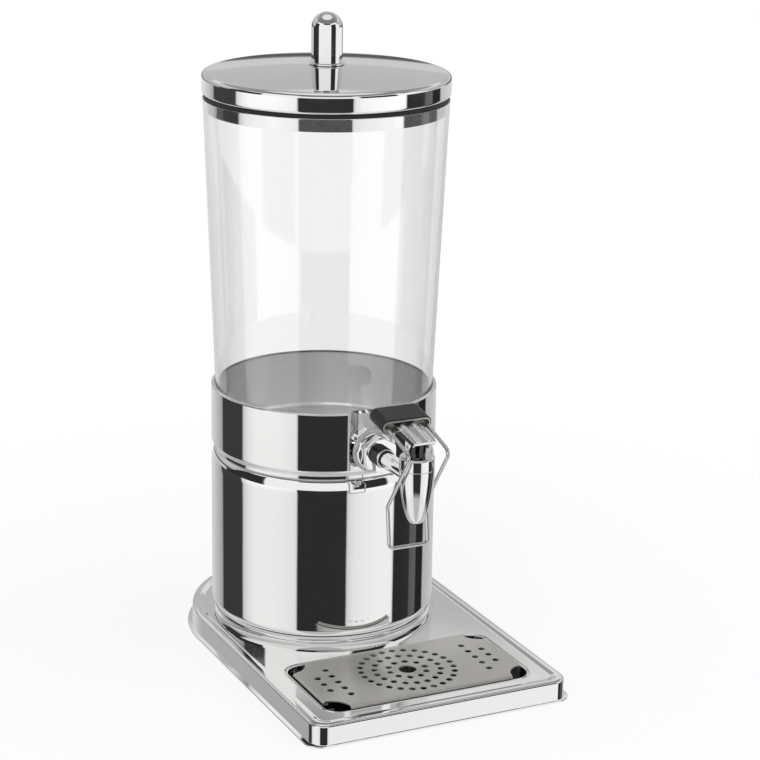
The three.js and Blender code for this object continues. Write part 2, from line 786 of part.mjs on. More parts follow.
// Clear container: tapered wall, rounded floor edge, and a drafted flat pad for the tap.
function container() {
  const foot = containerRadius(containerFoot);
  const round = containerFloorRound;
  const innerRound = containerFloorRound - containerWall;
  const outside = turned([
    [0, containerFoot],
    ...arc(foot - round, containerFoot + round, round, round, 270, 360),
    [containerTopRadius, containerTop],
    [0, containerTop],
  ]);
  const inside = turned([
    [0, containerFoot + containerWall],
    ...arc(foot - round, containerFoot + round, innerRound, innerRound, 270, 360, hiddenSteps),
    [containerRadius(containerTop + overrun) - containerWall, containerTop + overrun],
    [0, containerTop + overrun],
  ]);
  const pad = frontPrism(
    padOutline(padHalfWidth, padFoot, padTop),
    padRootFront,
    padFront,
    padOutline(padHalfWidth + padDraft, padFoot - padEndDraft, padTop + padEndDraft),
  );
  const wallMiddle = containerRadius(tapHeight) - containerWall / 2;
  const innerBoss = alongShank([[0, innerBossFront], [innerBossRadius, innerBossFront],
    [innerBossRadius, wallMiddle], [0, wallMiddle]]);
  const drill = shankRadius + holeClearance;
  const bore = alongShank([[0, innerBossFront - overrun], [drill, innerBossFront - overrun],
    [drill, padFront + overrun], [0, padFront + overrun]]);
  const shell = cut(join(outside, pad), inside);
  return piece("container", cut(join(shell, innerBoss), bore), finish.clear());
}

// Height of the crowned lid at a radius: a parabola from the knob to the shoulder.
function crownHeight(radius) {
  const share = radius / (lidRadius - lidShoulder);
  return lidTop - lidCrown * share * share;
}

// Lid shell: crowned top, rounded shoulder, upright band and turned-in hem.
function lidShell() {
  const hole = screwRadius + screwClearance;
  const flat = lidRadius - lidShoulder;
  const stationShares = [1, 0.7, 0.35];
  const crown = (drop) => [
    ...stationShares.map((share) => [flat * share, crownHeight(flat * share) - drop]),
    [hole, crownHeight(hole) - drop],
  ];
  const hem = (offset, steps) => arc(lidRadius - lidHemRound, lidHem + lidHemRound, lidHemRound - offset,
    lidHemRound - offset, 270, 360, steps);
  const shoulder = (offset, steps) => arc(flat, lidShoulderTop - lidShoulder, lidShoulder - offset,
    lidShoulder - offset, 0, 90, steps).slice(0, -1);
  const profile = [
    [lidHemInner, lidHem],
    ...hem(0, cornerSteps),
    ...shoulder(0, cornerSteps),
    ...crown(0),
    ...crown(lidSheet).reverse(),
    ...shoulder(lidSheet, hiddenSteps).reverse(),
    ...hem(lidSheet, hiddenSteps).reverse(),
    [lidHemInner, lidHem + lidSheet],
  ];
  return piece("lid_shell", turned(profile), finish.polished());
}

// Skirt that drops inside the container's mouth, welded under the crown.
function lidSkirt() {
  const top = crownHeight(skirtRadius) - lidSheet - pieceGap;
  const inner = skirtRadius - skirtSheet;
  const foot = lidHem - skirtDepth;
  const ring = turned([[inner, foot], [skirtRadius, foot], [skirtRadius, top], [inner, top]]);
  return piece("lid_skirt", ring, finish.polished());
}

function lidSeal() {
  const inner = lidHemInner + pieceGap;
  const outer = containerTopRadius - containerWall / 4;
  const ring = turned([[inner, containerTop], [outer, containerTop], [outer, lidHem], [inner, lidHem]]);
  return piece("lid_seal", ring, finish.rubber());
}

// Knob: a round-ended bar on a thin foot ring, held by a screw from inside the lid.
function lidKnob() {
  const seat = crownHeight(0) + pieceGap;
  const barFoot = seat + knobFootThickness;
  const hole = screwRadius + pieceGap;
  const holeTop = barFoot + screwEngagement;
  const foot = turned([
    [hole, seat],
    [knobFootRadius, seat],
    ...arc(knobFootRadius - knobFootRound, barFoot - knobFootRound, knobFootRound, knobFootRound, 0, 90, 2),
    [hole, barFoot],
  ], innerSegments);
  const bar = turned([
    [0, holeTop],
    [hole, holeTop],
    [hole, barFoot],
    [knobRadius, barFoot],
    ...arc(0, barFoot + knobLength - knobRadius, knobRadius, knobRadius, 0, 90, 6).slice(0, -1),
    [0, barFoot + knobLength],
  ], innerSegments);
  const headTop = crownHeight(hole) - lidSheet - pieceGap;
  const screw = turned([
    [0, headTop - screwHeadHeight],
    [screwHeadRadius - screwHeadHeight / 3, headTop - screwHeadHeight],
    [screwHeadRadius, headTop - screwHeadHeight / 2],
    [screwHeadRadius, headTop],
    [screwRadius, headTop],
    [screwRadius, holeTop - screwRadius],
    [0, holeTop - screwRadius],
  ], tinySegments);
  return [
    piece("knob_foot", foot, finish.polished()),
    piece("knob", bar, finish.polished()),
    piece("knob_screw", screw, finish.zinc()),
  ];
}

// A washer or ring on the shank. A round softens its front edge.
function shankRing(radius, back, front, round = 0) {
  const bore = shankRadius + pieceGap;
  const edge = round ? arc(radius - round, front - round, round, round, 0, 90, 2) : [[radius, front]];
  return alongShank([[bore, back], [radius, back], ...edge, [bore, front]]);
}

// A hexagon nut along the shank with one chamfered end.
function shankNut(acrossFlats, back, front) {
  const corner = acrossFlats / Math.sqrt(3);
  const chamfered = turned([
    [0, back],
    [corner, back],
    [corner, front - nutChamfer],
    [corner - nutChamfer * 2, front],
    [0, front],
  ], tapSegments);
  const through = post(shankRadius + pieceGap, back - overrun, front + overrun);
  const nut = cut(hexagon(acrossFlats, back, front).intersect(chamfered), through);
  return nut.rotate([90, 0, 0]).translate([0, 0, tapHeight]);
}

// Ribbed collar: rounded threads round the shank.
function threadCollar(back) {
  const pitch = threadLength / threadRibs;
  const root = threadRadius - threadDepth;
  const ribs = Array.from({ length: threadRibs }, (_, i) => [
    [root, back + pitch * i],
    [threadRadius, back + pitch * (i + 1 / 3)],
    [threadRadius, back + pitch * (i + 2 / 3)],
  ]).flat();
  const bore = shankRadius + pieceGap;
  const front = back + threadLength;
  return alongShank([[bore, back], ...ribs, [root, front], [bore, front]]);
}

// The pieces stacked along the shank, from the container's inside to the nozzle.
function shankPieces() {
  const bore = shankRadius + pieceGap;
  const washerBack = padFront + pieceGap;
  const washerFront = washerBack + washerThickness;
  const domeBack = washerFront + pieceGap;
  const domeFront = domeBack + domeThickness;
  const nutBack = domeFront + pieceGap;
  const threadBack = nutBack + nutLength + pieceGap;
  const ringBack = threadBack + threadLength + pieceGap;
  const darkBack = ringBack + brightRingLength + pieceGap;
  const innerWasherFront = innerBossFront - pieceGap;
  const innerWasherBack = innerWasherFront - innerWasherThickness;
  const lockFront = innerWasherBack - pieceGap;

  const washer = alongShank([
    [bore, washerBack],
    ...arc(washerRadius - washerRound, washerBack + washerRound, washerRound, washerRound, 270, 360, 2),
    ...arc(washerRadius - washerRound, washerFront - washerRound, washerRound, washerRound, 0, 90, 2),
    [bore, washerFront],
  ], tapSegments);
  const domeRound = domeRadius - domeFrontRadius;
  const dome = alongShank([
    [bore, domeBack],
    ...arc(domeFrontRadius, domeFront - domeRound, domeRound, domeRound, 0, 90, 3),
    [bore, domeFront],
  ], tapSegments);
  const shankFront = nozzleFront - chamberRadius;
  const shank = alongShank([[shankBore, shankInnerFront], [shankRadius, shankInnerFront],
    [shankRadius, shankFront], [shankBore, shankFront]]);
  return [
    piece("tap_shank", cut(shank, chamber()), finish.chrome()),
    piece("outer_washer", washer, finish.silicone()),
    piece("dome_washer", dome, finish.chrome()),
    piece("hex_nut", shankNut(nutAcrossFlats, nutBack, nutBack + nutLength), finish.chrome()),
    piece("thread_collar", threadCollar(threadBack), finish.dark()),
    piece("bright_ring", shankRing(brightRingRadius, ringBack, ringBack + brightRingLength, washerRound),
      finish.chrome()),
    piece("dark_ring", shankRing(darkRingRadius, darkBack, darkBack + darkRingLength), finish.rubber()),
    piece("inner_washer", shankRing(innerWasherRadius, innerWasherBack, innerWasherFront), finish.silicone()),
    piece("lock_nut", shankNut(lockNutAcrossFlats, lockFront - lockNutLength, lockFront), finish.chrome()),
  ];
}

// The valve chamber inside the nozzle, as a cutter.
function chamber() {
  const top = chamberTop + nozzleTopRound;
  return post(chamberRadius + pieceGap, seatHeight, top).translate([0, -nozzleFront, 0]);
}

// Tap body: bullet-shaped nozzle with its bore, seat, valve chamber and seam.
function tapBody() {
  const taper = nozzleTaperShares.map(([riseShare, radiusShare]) => [
    nozzleTipRadius + (nozzleRadius - nozzleTipRadius) * radiusShare,
    nozzleTip + (nozzleStraightTo - nozzleTip) * riseShare,
  ]);
  const profile = [
    [nozzleBore, nozzleTip],
    [nozzleTipRadius - nozzleTipRound, nozzleTip],
    ...taper,
    [nozzleRadius, seamHeight],
    [nozzleRadius - seamDepth, seamHeight + seamWidth / 2],
    [nozzleRadius, seamHeight + seamWidth],
    ...arc(nozzleRadius - nozzleTopRound, nozzleTop - nozzleTopRound,
      nozzleTopRound, nozzleTopRound, 0, 90, 3),
    [neckCollarRadius + pieceGap, nozzleTop],
    [neckCollarRadius + pieceGap, chamberTop],
    [chamberRadius, chamberTop],
    [chamberRadius, seatHeight],
    [nozzleBore, seatHeight],
  ];
  const body = turned(profile, tapSegments).translate([0, -nozzleFront, 0]);
  const drill = shankRadius + pieceGap;
  const sideHole = alongShank([[0, padFront], [drill, padFront], [drill, nozzleFront], [0, nozzleFront]]);
  return piece("tap_body", cut(body, sideHole), finish.chrome());
}

// Neck on top of the body. The crank turns in its cross hole.
function tapNeck() {
  const profile = [
    [stemRadius + runningGap, chamberTop],
    [neckCollarRadius, chamberTop],
    [neckCollarRadius, nozzleTop],
    [neckFootRadius, nozzleTop],
    [neckRadius, neckTop],
    [neckCavityRadius, neckTop],
    [neckCavityRadius, neckFloor],
    [stemRadius + runningGap, neckFloor],
  ];
  const neck = turned(profile, tapSegments).translate([0, -nozzleFront, 0]);
  const journal = journalRadius + runningGap;
  const drill = post(journal, -neckRadius - overrun, neckRadius + overrun, tinySegments)
    .rotate([0, 90, 0]).translate([0, -nozzleFront, pivotHeight]);
  return piece("tap_neck", cut(neck, drill), finish.dark());
}

// The crank pin's place at rest: half of the travel below level, and behind the stem.
const crankRest = radians(-leverTravel / 2);
const pinBack = crankThrow * Math.cos(crankRest);
const pinHeight = pivotHeight + crankThrow * Math.sin(crankRest);

// Stem with its yoke round the crank pin, a collar for the spring, and the seal at its foot.
function valveStem() {
  const sealFoot = seatHeight + seatGap;
  const collarFoot = sealFoot + sealHeight;
  const windowHalf = crankPinRadius + yokeWindow;
  const frameHalf = windowHalf + yokeFrame;
  const rodTop = pinHeight - windowHalf - yokeFrame / 2;
  const rod = turned([
    [0, collarFoot - sealHeight / 2],
    [stemRadius, collarFoot - sealHeight / 2],
    [stemRadius, collarFoot],
    [stemCollarRadius, collarFoot],
    [stemCollarRadius, springFoot],
    [stemRadius, springFoot],
    [stemRadius, rodTop],
    [0, rodTop],
  ], tinySegments);
  const halfThick = yokeThickness / 2;
  const frame = block([-halfThick, -stemRadius, pinHeight - frameHalf],
    [halfThick, pinBack + frameHalf, pinHeight + frameHalf]);
  const window = block([-halfThick - overrun, pinBack - windowHalf, pinHeight - windowHalf],
    [halfThick + overrun, pinBack + windowHalf, pinHeight + windowHalf]);
  const stem = cut(join(rod, frame), window).translate([0, -nozzleFront, 0]);
  const seal = turned([
    [stemRadius + pieceGap, sealFoot],
    [sealRadius, sealFoot],
    [sealRadius, collarFoot],
    [stemRadius + pieceGap, collarFoot],
  ], tinySegments).translate([0, -nozzleFront, 0]);
  return [piece("valve_stem", stem, finish.zinc()), piece("valve_seal", seal, finish.rubber())];
}

// A rising coil of even pitch.
class Coil extends THREE.Curve {
  constructor(radius, foot, top, turns) {
    super();
    Object.assign(this, { radius, foot, top, turns });
  }

  getPoint(t, target = new THREE.Vector3()) {
    const angle = 2 * Math.PI * this.turns * t;
    const z = this.foot + (this.top - this.foot) * t;
    return target.set(this.radius * Math.cos(angle), this.radius * Math.sin(angle), z);
  }
}

function disc(radius, sides) {
  const points = Array.from({ length: sides }, (_, i) => {
    const angle = (2 * Math.PI * i) / sides;
    return new THREE.Vector2(radius * Math.cos(angle), radius * Math.sin(angle));
  });
  return new THREE.Shape(points);
}

// Spring that pushes the seal down on its seat.
function valveSpring() {
  const foot = springFoot + springWire + pieceGap;
  const top = chamberTop - springWire - pieceGap;
  const path = new Coil(springRadius, foot, top, springTurns);
  const options = { steps: springTurns * springStepsPerTurn, bevelEnabled: false, extrudePath: path };
  const wire = toSolid(new THREE.ExtrudeGeometry(disc(springWire, springSides), options));
  return piece("valve_spring", wire.translate([0, -nozzleFront, 0]), finish.zinc());
}

// Pieces of the lever are drawn about the pivot: X across, Y to the back, Z square to the plate.

// Lever plate: tapered top with two pressed ribs, side flanges, cheeks and a turned-down lip.
function leverPlate() {
  const under = plateTop - plateSheet;
  const half = (y) => {
    const share = (y + plateFrontEnd) / (insertFrontEnd + plateFrontEnd);
    return plateFrontHalf + (plateBackHalf - plateFrontHalf) * Math.min(share, 1);
  };
  const outline = (inset, z) => atHeight([
    [half(-plateFrontEnd) - inset, inset - plateFrontEnd],
    [half(insertFrontEnd) - inset, insertFrontEnd],
    [half(plateBackEnd) - inset, plateBackEnd],
    [inset - half(plateBackEnd), plateBackEnd],
    [inset - half(insertFrontEnd), insertFrontEnd],
    [inset - half(-plateFrontEnd), inset - plateFrontEnd],
  ], z);
  const top = skinned([outline(0, under - cheekDrop), outline(0, plateTop)]);
  const hollowFoot = under - cheekDrop - overrun;
  const hollow = skinned([outline(cheekThickness, hollowFoot), outline(cheekThickness, under)]);
  const lipCut = block([-plateFrontHalf, -plateFrontEnd - overrun, under - cheekDrop - overrun],
    [plateFrontHalf, cheekThickness - plateFrontEnd, plateTop - plateLip]);
  const ribRadius = (plateRibWidth * plateRibWidth / 4 + plateRib * plateRib) / (2 * plateRib);
  const ribCentre = plateTop + plateRib - ribRadius;
  const ribOffset = plateFrontHalf / 2;
  const ribBlock = block([-plateBackHalf, -plateFrontEnd, plateTop - plateSheet / 2],
    [plateBackHalf, plateBackEnd, plateTop + plateRib]);
  const bar = turned([[0, -plateBackEnd], [ribRadius, -plateBackEnd], [ribRadius, plateFrontEnd],
    [0, plateFrontEnd]], innerSegments).rotate([90, 0, 0]);
  const ribs = [-ribOffset, ribOffset].map((x) => bar.translate([x, 0, ribCentre]).intersect(ribBlock));
  const cheekOuter = neckRadius + cheekThickness + runningGap * 4;
  const cheek = join(
    post(cheekRadius, 0, cheekThickness, smallSegments).rotate([0, 90, 0]),
    block([0, -cheekRadius, 0], [cheekThickness, cheekRadius, under]),
  );
  const cheeks = [-cheekOuter, cheekOuter - cheekThickness].map((x) => cheek.translate([x, 0, 0]));
  const journal = post(journalRadius + pieceGap / 2, -plateBackHalf, plateBackHalf, tinySegments)
    .rotate([0, 90, 0]);
  const body = cut(join(cut(top, hollow, lipCut), ...ribs, ...cheeks), journal);
  return piece("lever_plate", body, finish.chrome());
}

// Crank: two journals in the neck and cheeks, two webs, and a pin that lifts the stem's yoke.
function crankShaft() {
  const end = neckRadius + cheekThickness + runningGap * 4;
  const webEnd = crankPinHalfLength + crankWebThickness;
  const aside = crankThrow * Math.cos(crankRest - radians(leverTilt));
  const above = crankThrow * Math.sin(crankRest - radians(leverTilt));
  const across = (solid) => solid.rotate([0, 90, 0]);
  const webDisc = across(post(crankWebRadius, crankPinHalfLength, webEnd, tinySegments));
  const spread = block([crankPinHalfLength, 0, -crankWebRadius], [webEnd, crankThrow, crankWebRadius])
    .rotate([THREE.MathUtils.radToDeg(crankRest) - leverTilt, 0, 0]);
  const web = join(webDisc, webDisc.translate([0, aside, above]), spread);
  const journal = across(post(journalRadius, crankPinHalfLength, end, tinySegments));
  const side = join(journal, web);
  const pinEnd = crankPinHalfLength + crankWebThickness / 2;
  const pin = across(post(crankPinRadius, -pinEnd, pinEnd, tinySegments)).translate([0, aside, above]);
  const shaft = join(side, side.mirror([1, 0, 0]), pin);
  return piece("crank_shaft", shaft, finish.zinc());
}

// A flat-sided tube with round edges, drawn upright, then laid along the lever.
function flatRing(halfWidth, halfHeight, z) {
  const x = halfWidth - halfHeight;
  const outline = [
    ...arc(x, 0, halfHeight, halfHeight, -90, 90, 8),
    ...arc(-x, 0, halfHeight, halfHeight, 90, 270, 8),
  ];
  return atHeight(outline, z);
}

const layBack = (solid) => solid.rotate([-90, 0, 0]).translate([0, 0, insertCentre]);

// Insert: a flat metal block with an open front, a slot for the plate and two holes for the wire.
function leverInsert() {
  const ring = (inset, y) => flatRing(insertHalfWidth - inset, insertHalfHeight - inset, y);
  const pocketEnd = insertFrontEnd + insertPocket;
  const outside = layBack(skinned([ring(0, insertFrontEnd), ring(0, insertBackEnd)]));
  const pocketRings = [ring(insertWall, insertFrontEnd - overrun), ring(insertWall, pocketEnd)];
  const pocket = layBack(skinned(pocketRings));
  const slotHalf = plateBackHalf + insertClearance;
  const slot = block(
    [-slotHalf, pocketEnd - overrun, plateTop - plateSheet - cheekDrop - insertClearance],
    [slotHalf, plateBackEnd + insertClearance, plateTop + plateRib + insertClearance],
  );
  const drill = (x) => {
    const [root, bow] = bailCorners(x);
    const ahead = root.clone().sub(bow).normalize();
    const end = root.clone().addScaledVector(ahead, insertClearance);
    const start = root.clone().addScaledVector(ahead, insertFrontEnd - overrun - bailRootBack);
    return rod(start, end, bailWire / 2 + insertClearance);
  };
  const insert = cut(outside, pocket, slot, drill(-bailHalfWidth), drill(bailHalfWidth));
  return piece("grip_insert", insert, finish.brushed());
}

// Grip: a black cap over the insert, open at the front, with a rounded back.
function leverGrip() {
  const outer = gripClearance + gripWall;
  const ring = (inset, y) => flatRing(insertHalfWidth + outer - inset, insertHalfHeight + outer - inset, y);
  const front = insertFrontEnd + gripSetback;
  const back = arc(gripRound, gripBackEnd - gripRound, gripRound, gripRound, 180, 90, 4);
  const outside = skinned([ring(0, front), ...back.map(([inset, y]) => ring(inset, y))]);
  const inside = skinned([ring(gripWall, front - overrun), ring(gripWall, insertBackEnd + gripClearance)]);
  return piece("lever_grip", layBack(cut(outside, inside)), finish.black());
}

// A straight round bar between two points.
function rod(from, to, radius) {
  const options = { steps: 1, bevelEnabled: false, extrudePath: new THREE.LineCurve3(from, to) };
  return toSolid(new THREE.ExtrudeGeometry(disc(radius, wireSides), options));
}

// A path of straight runs joined by rounded bends.
function bentPath(corners, radii) {
  const path = new THREE.CurvePath();
  let from = corners[0];
  for (let i = 1; i + 1 < corners.length; i += 1) {
    const corner = corners[i];
    const before = corners[i - 1].clone().sub(corner).normalize();
    const after = corners[i + 1].clone().sub(corner).normalize();
    const setback = radii[i - 1] / Math.tan(before.angleTo(after) / 2);
    const start = corner.clone().addScaledVector(before, setback);
    const end = corner.clone().addScaledVector(after, setback);
    path.add(new THREE.LineCurve3(from, start));
    path.add(new THREE.QuadraticBezierCurve3(start, corner, end));
    from = end;
  }
  path.add(new THREE.LineCurve3(from, corners.at(-1)));
  return path;
}

// One side of the bail: its root in the insert, the bow, the knee and the lower corner.
const bailCorners = (x) => [
  new THREE.Vector3(x, bailRootBack, bailRootRise),
  new THREE.Vector3(x, -bailBowFront, bailBowRise),
  new THREE.Vector3(x, bailKneeBack, -bailKneeDrop),
  new THREE.Vector3(x, -bailBarFront, -bailBarDrop),
];

// Bail: one wire from the insert, out round the nozzle and down to the bar that a cup pushes.
function wireBail() {
  const corners = [...bailCorners(-bailHalfWidth), ...bailCorners(bailHalfWidth).reverse()];
  const bends = [bailBendRadius, bailBendRadius, bailCornerRadius];
  const path = bentPath(corners, [...bends, ...bends.toReversed()]);
  const options = { steps: bailSteps, bevelEnabled: false, extrudePath: path };
  const wire = toSolid(new THREE.ExtrudeGeometry(disc(bailWire / 2, wireSides), options));
  return piece("wire_bail", wire, finish.polished());
}

const dispenser = new THREE.Group();

const stand = new THREE.Group();
stand.add(basePan(), bottomCover(), ...rubberFeet(), ...pedestalBolts(), housingShell(), housingGasket());
stand.add(containerRing(), packCup(), coldPack(), coldPlate());

const drip = new THREE.Group();
drip.add(dripTray(), dripCover());

const vessel = new THREE.Group();
vessel.add(container(), ...shankPieces(), tapBody(), tapNeck(), ...valveStem(), valveSpring());

const lid = new THREE.Group();
lid.add(lidShell(), lidSkirt(), lidSeal(), ...lidKnob());

const lever = new THREE.Group();
lever.add(leverPlate(), crankShaft(), leverInsert(), leverGrip(), wireBail());
lever.position.set(0, -nozzleFront, pivotHeight);
lever.rotation.x = radians(leverTilt);

dispenser.add(stand, drip, vessel, lid, lever);
for (const group of dispenser.children) group.position.y += axisBack;

export default dispenser;
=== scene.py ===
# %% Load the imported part
import math
from itertools import accumulate

import bmesh
import bpy
import numpy as np
from mathutils import Matrix, Vector


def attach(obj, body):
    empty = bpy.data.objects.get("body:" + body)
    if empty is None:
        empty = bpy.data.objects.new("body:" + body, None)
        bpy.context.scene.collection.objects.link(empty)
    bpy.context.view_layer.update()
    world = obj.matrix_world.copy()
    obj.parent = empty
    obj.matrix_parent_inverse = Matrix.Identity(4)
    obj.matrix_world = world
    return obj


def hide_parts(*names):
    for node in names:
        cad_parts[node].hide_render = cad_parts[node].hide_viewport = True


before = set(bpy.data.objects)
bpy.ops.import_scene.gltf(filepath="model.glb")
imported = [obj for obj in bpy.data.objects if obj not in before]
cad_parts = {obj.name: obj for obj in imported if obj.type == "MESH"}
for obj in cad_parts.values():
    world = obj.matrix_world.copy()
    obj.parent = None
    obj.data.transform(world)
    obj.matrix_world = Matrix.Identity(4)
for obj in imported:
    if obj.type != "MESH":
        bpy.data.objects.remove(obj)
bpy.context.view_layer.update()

# %% [markdown]
# The dispenser is made of bright sheet metal, a clear container and a small chromed tap.
# Its look comes from two things: true round surfaces, and a studio worth mirroring.
# All sizes below are millimetres, and Blender gets metres.
# Most pieces stand on the container's upright axis, which is behind the row's origin.

# %% Millimetres to the row's frame
MM = 0.001
AXIS_BACK = 59.35  # container's axis behind the origin
ROUND = 192  # facets round a large piece
SMALL = 64  # facets round a small one


def in_row(points):
    """Each point, in millimetres about the container's axis, moved back and scaled to metres."""
    return (np.asarray(points, float) + [0, AXIS_BACK, 0]) * MM


# %% [markdown]
# A profile is a list of points. A straight run needs only its two ends.
# A bend is part of a circle or ellipse, so it is sampled by angle.
# Sampling by angle puts the points where the surface turns, which a mirror finish needs.

# %% Profiles
def arc(x, y, radius_x, radius_y, start, end, steps=10):
    """Point i is the centre plus the radii times the cosine and sine of an even step from start to end."""
    angle = np.radians(np.linspace(start, end, steps + 1))
    return np.column_stack([x + radius_x * np.cos(angle), y + radius_y * np.sin(angle)])


def path(*parts):
    """Single points and runs of points, one after the other."""
    return np.vstack([np.atleast_2d(np.asarray(part, float)) for part in parts])


# %% [markdown]
# Every new surface is a grid of two parameters, with a quad between each four neighbours.
# Building the whole grid as arrays is quick, and a closed profile gives a wall with two faces.

# %% Surfaces from grids
def grid_faces(rows, columns, close_rows=True, close_columns=True):
    """Quad (i, j) joins points (i, j), (i+1, j), (i+1, j+1) and (i, j+1) of a grid kept row by row."""
    i, j = np.meshgrid(np.arange(rows if close_rows else rows - 1),
                       np.arange(columns if close_columns else columns - 1), indexing="ij")
    down, across = (i + 1) % rows, (j + 1) % columns
    corners = [i * columns + j, down * columns + j, down * columns + across, i * columns + across]
    return np.stack(corners, -1).reshape(-1, 4).tolist()


def turned(*profile, segments=ROUND):
    """A profile of (radius, height) turned about Z: (r cos a, r sin a, h) for every angle a."""
    outline = path(*profile)
    angle = np.linspace(0, 2 * np.pi, segments, endpoint=False)
    radius, height = outline[:, 0], outline[:, 1]
    points = np.stack([np.outer(np.cos(angle), radius), np.outer(np.sin(angle), radius),
                       np.tile(height, (segments, 1))], -1).reshape(-1, 3)
    return points, grid_faces(segments, len(outline))


def lofted(rings):
    """Outlines of the same count of points, skinned in order, with a flat cap on the first and last."""
    rings = np.asarray(rings, float)
    levels, count = rings.shape[:2]
    faces = grid_faces(levels, count, close_rows=False)
    faces.append(list(range(count - 1, -1, -1)))
    faces.append(list(range((levels - 1) * count, levels * count)))
    return rings.reshape(-1, 3), faces


def at_height(outline, height):
    """A flat (x, y) outline lifted to one height."""
    return np.column_stack([outline, np.full(len(outline), float(height))])


def carried(middle, radius, sides=16):
    """A circle carried along a line of points. The ring's first axis is turned from point to point
    by taking off the part that lies along the new direction, so the tube doesn't twist."""
    middle = np.asarray(middle, float)
    ahead = np.gradient(middle, axis=0)
    ahead /= np.linalg.norm(ahead, axis=1)[:, None]

    def follow(before, direction):
        level = before - direction * before.dot(direction)
        return level / np.linalg.norm(level)

    start = follow(np.array([1.0, 0.3, 0.2]), ahead[0])
    side = np.array(list(accumulate(ahead[1:], follow, initial=start)))
    other = np.cross(ahead, side)
    radii = np.concatenate([[0], np.full(len(middle), float(radius)), [0]])[:, None, None]
    middle, side, other = (np.concatenate([a[:1], a, a[-1:]])[:, None, :] for a in (middle, side, other))
    angle = np.linspace(0, 2 * np.pi, sides, endpoint=False)[None, :, None]
    points = middle + radii * (side * np.cos(angle) + other * np.sin(angle))
    return points.reshape(-1, 3), grid_faces(len(radii), sides, close_rows=False)


def moved(shape, x=0, y=0, z=0):
    """The same shape, shifted."""
    return np.asarray(shape[0]) + [x, y, z], shape[1]


def merged(*shapes):
    """Several shapes as one list of points and faces."""
    starts = np.cumsum([0] + [len(points) for points, _ in shapes])
    faces = [[int(v + start) for v in face] for (_, some), start in zip(shapes, starts) for face in some]
    return np.vstack([points for points, _ in shapes]), faces


def post(radius, bottom, top, segments=SMALL):
    """An upright cylinder."""
    return turned((0, bottom), (radius, bottom), (radius, top), (0, top), segments=segments)


def block(low, high):
    """A box between two corners, as an outline lofted from its foot to its top."""
    (x0, y0, z0), (x1, y1, z1) = low, high
    outline = np.array([(x0, y0), (x1, y0), (x1, y1), (x0, y1)], float)
    return lofted([at_height(outline, z0), at_height(outline, z1)])


# %% [markdown]
# Mesh objects come last. Doubled points are merged, which closes seams and poles.
# Booleans cut slots and holes, as a press or a drill would.
# A mirror shows every error of its normals, so each corner's normal is weighted by the area of its faces.
# Then a tall flat wall keeps its own direction beside a narrow bend.

# %% Mesh objects
def add_object(name, data):
    """A new object in the scene."""
    made = bpy.data.objects.new(name, data)
    bpy.context.scene.collection.objects.link(made)
    return made


def solid(name, shape):
    """A closed mesh object in metres, with merged doubles and its faces turned outwards."""
    points, faces = shape
    data = bpy.data.meshes.new(name)
    data.from_pydata(in_row(points).tolist(), [], faces)
    work = bmesh.new()
    work.from_mesh(data)
    bmesh.ops.remove_doubles(work, verts=work.verts, dist=2e-7)
    bmesh.ops.dissolve_degenerate(work, edges=work.edges, dist=1e-7)
    bmesh.ops.recalc_face_normals(work, faces=work.faces)
    work.to_mesh(data)
    work.free()
    return add_object(name, data)


def apply_modifiers(piece):
    """Replaces a piece's mesh by what its modifiers make of it."""
    seen = piece.evaluated_get(bpy.context.evaluated_depsgraph_get())
    data = bpy.data.meshes.new_from_object(seen)
    old = piece.data
    piece.modifiers.clear()
    piece.data = data
    data.name = piece.name
    bpy.data.meshes.remove(old)


def combine(piece, operation, *shapes):
    """Joins shapes to a piece, or cuts them from it."""
    for shape in shapes:
        tool = solid("tool", shape)
        change = piece.modifiers.new("change", "BOOLEAN")
        change.operation, change.solver, change.object = operation, "EXACT", tool
        apply_modifiers(piece)
        data = tool.data
        bpy.data.objects.remove(tool)
        bpy.data.meshes.remove(data)
    return piece


def softened(piece, width, segments=3, angle=40):
    """Rounds the edges that are sharper than an angle."""
    bevel = piece.modifiers.new("edges", "BEVEL")
    bevel.width, bevel.segments, bevel.limit_method = width * MM, segments, "ANGLE"
    bevel.angle_limit = math.radians(angle)
    bevel.use_clamp_overlap = True
    apply_modifiers(piece)
    return piece


def values_of(items, name, size=1, kind=np.float32):
    """One property of all items as an array. Where it has several numbers, each item gets a row."""
    found = np.empty(len(items) * size, kind)
    items.foreach_get(name, found)
    return found.reshape(-1, size) if size > 1 else found


ON_CONE = math.cos(math.radians(2.2))  # a face this close to the cone's direction belongs to it


def cone_normals(piece, slope):
    """Gives faces that lie on an upright cone about the container's axis the cone's own normals:
    outwards from the axis by one, and down by the cone's slope, with the sign of the wall's side."""
    data = piece.data
    normals = values_of(data.corner_normals, "vector", 3)
    of_loop = values_of(data.loops, "vertex_index", kind=np.int32)
    spots = values_of(data.vertices, "co", 3)[of_loop] - [0, AXIS_BACK * MM, 0]
    outwards = spots[:, :2] / np.maximum(np.hypot(spots[:, 0], spots[:, 1]), 1e-9)[:, None]
    true = np.column_stack([outwards, np.full(len(outwards), -slope)])
    true /= np.linalg.norm(true, axis=1)[:, None]
    corners = values_of(data.polygons, "loop_total", kind=np.int32)
    facing = np.repeat(values_of(data.polygons, "normal", 3), corners, axis=0)
    alike = np.einsum("ij,ij->i", facing, true)
    chosen = np.abs(alike) > ON_CONE
    normals[chosen] = true[chosen] * np.sign(alike[chosen])[:, None]
    data.normals_split_custom_set(normals.tolist())


